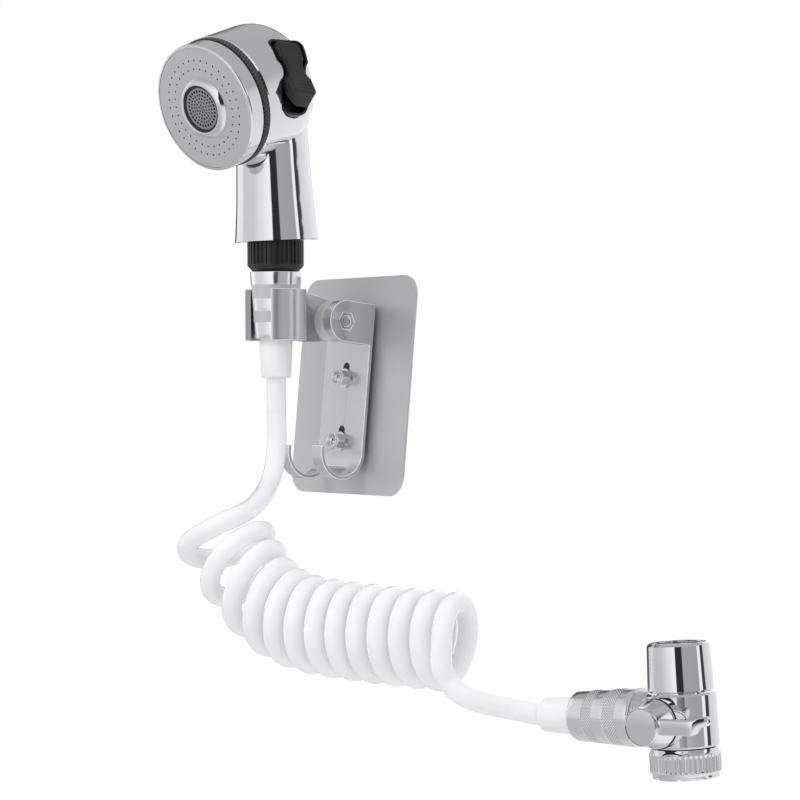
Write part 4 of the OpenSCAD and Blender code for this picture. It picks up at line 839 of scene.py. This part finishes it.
# studio screen: each band lists angles round from the lens, in degrees, and how bright the screen is
# there; the first band goes all the way up and down, and each of the others covers it little by little
# from its start height, in degrees, to its full height
studio = dict(
    centre=(0.10, -0.05), radius=0.98, segments=180, rows=61, cool=1.01,
    bands=[dict(tones=[(-180, 0.05), (-146, 0.06), (-142, 0.95), (-112, 0.9), (-104, 0.66), (-68, 0.68),
                       (-50, 0.82), (-16, 1.0), (-13, 1.0), (-11.5, 0.03), (9.5, 0.03), (11, 0.4), (60, 0.38),
                       (63, 1.0), (71, 1.0), (73, 0.05), (84, 0.06), (87, 0.7), (130, 0.85), (176, 0.97),
                       (179, 0.06)]),
           dict(tones=[(-180, 0.46)], start=22, full=48),
           dict(tones=[(-180, 0.6), (-130, 0.5), (-60, 0.5), (-20, 0.62), (20, 0.85), (100, 0.9), (170, 0.62)],
                start=-10, full=-24)])


# a sphere that only polished surfaces see: soft boxes and dark gaps side by side, grey above and paler
# ground below; its map has the angle round, 0 to 1, and the height, -1 to 1
def makeDome(s):
    toCamera = Vector(lens["place"]) - Vector((*s["centre"], 0))
    share = np.linspace(0, 1, s["segments"] + 1)
    rise = np.linspace(-90, 90, s["rows"])
    angle = math.atan2(toCamera.y, toCamera.x) + math.pi * (2 * share - 1)
    out = s["radius"] * np.cos(np.radians(rise))[:, None]
    up = s["radius"] * np.sin(np.radians(rise))[:, None]
    x, y = s["centre"]
    points = np.stack([x + out * np.cos(angle), y + out * np.sin(angle), up + 0 * angle], -1).reshape(-1, 3)
    mesh = bpy.data.meshes.new("studio_dome")
    mesh.from_pydata(points.tolist(), [], gridFaces(len(rise), len(share), closedColumns=False).tolist())
    corner = np.zeros(len(mesh.loops), int)
    mesh.loops.foreach_get("vertex_index", corner)
    place = np.column_stack([share[corner % len(share)], rise[corner // len(share)] / 90])
    mesh.uv_layers.new(name="dome").data.foreach_set("uv", place.astype(np.float32).ravel())
    dome = addObject("studio_dome", mesh)
    material, _ = startMaterial("dome_light")
    uv = addNode(material, "ShaderNodeUVMap", uv_map="dome")
    around, height = addNode(material, "ShaderNodeSeparateXYZ", {0: uv.outputs[0]}).outputs[:2]
    colour = None
    for band in s["bands"]:
        ramp = addNode(material, "ShaderNodeValToRGB", {"Fac": around})
        stops = ramp.color_ramp.elements
        stops[0].color = stops[1].color = (*[band["tones"][0][1]] * 3, 1)
        for degrees, tone in band["tones"][1:]:
            stops.new((degrees + 180) / 360).color = (tone, tone, tone * s["cool"], 1)
        if colour is None:
            colour = ramp.outputs[0]
            continue
        cover = addNode(material, "ShaderNodeMapRange",
                        {"Value": height, "From Min": band["start"] / 90, "From Max": band["full"] / 90},
                        interpolation_type="SMOOTHSTEP")
        colour = mixOf(material, cover.outputs[0], colour, ramp.outputs[0])
    showOn(material, addNode(material, "ShaderNodeEmission", {"Color": colour}).outputs[0])
    dome.data.materials.append(material)
    dome.visible_camera = dome.visible_diffuse = dome.visible_shadow = False
    dome.visible_transmission = dome.visible_volume_scatter = False


worldLook = dict(seen=1.0, light=0.62)  # how bright the world is: as it is seen, and as light on dull surfaces


# an even white world
def makeWorld(s):
    world = bpy.data.worlds.new("studio")
    scene.world = world
    world.use_nodes = True
    tree = world.node_tree
    back = tree.nodes["Background"]
    rays = tree.nodes.new("ShaderNodeLightPath")
    strength = tree.nodes.new("ShaderNodeMapRange")
    tree.links.new(rays.outputs["Is Diffuse Ray"], strength.inputs["Value"])
    strength.inputs["To Min"].default_value, strength.inputs["To Max"].default_value = s["seen"], s["light"]
    back.inputs["Color"].default_value = (1, 1, 1, 1)
    tree.links.new(strength.outputs[0], back.inputs["Strength"])


# lamps: side in degrees from the lens, height in degrees, distance and width in metres
lamps = dict(aim=(0.10, -0.05, -0.02),
             key=dict(side=-48, height=38, distance=1.3, width=0.7, watts=7.0),
             fill=dict(side=60, height=15, distance=1.4, width=0.9, watts=3.0),
             top=dict(side=-10, height=80, distance=1.2, width=0.8, watts=3.0))


def makeLamp(name, aim, s):
    toCamera = Vector(lens["place"]) - aim
    a = math.atan2(toCamera.y, toCamera.x) + math.radians(s["side"])
    e = math.radians(s["height"])
    away = Vector((math.cos(a) * math.cos(e), math.sin(a) * math.cos(e), math.sin(e)))
    data = bpy.data.lights.new(name + "_lamp", "AREA")
    data.size, data.energy = s["width"], s["watts"]
    lamp = addObject(name + "_lamp", data)
    lamp.location = aim + away * s["distance"]
    lamp.rotation_euler = (-away).to_track_quat("-Z", "Y").to_euler()
    lamp.visible_glossy = False


makeFloor(floorLook)
makeDome(studio)
makeWorld(worldLook)
for name in ("key", "fill", "top"):
    makeLamp(name, Vector(lamps["aim"]), lamps[name])
print("studio set")
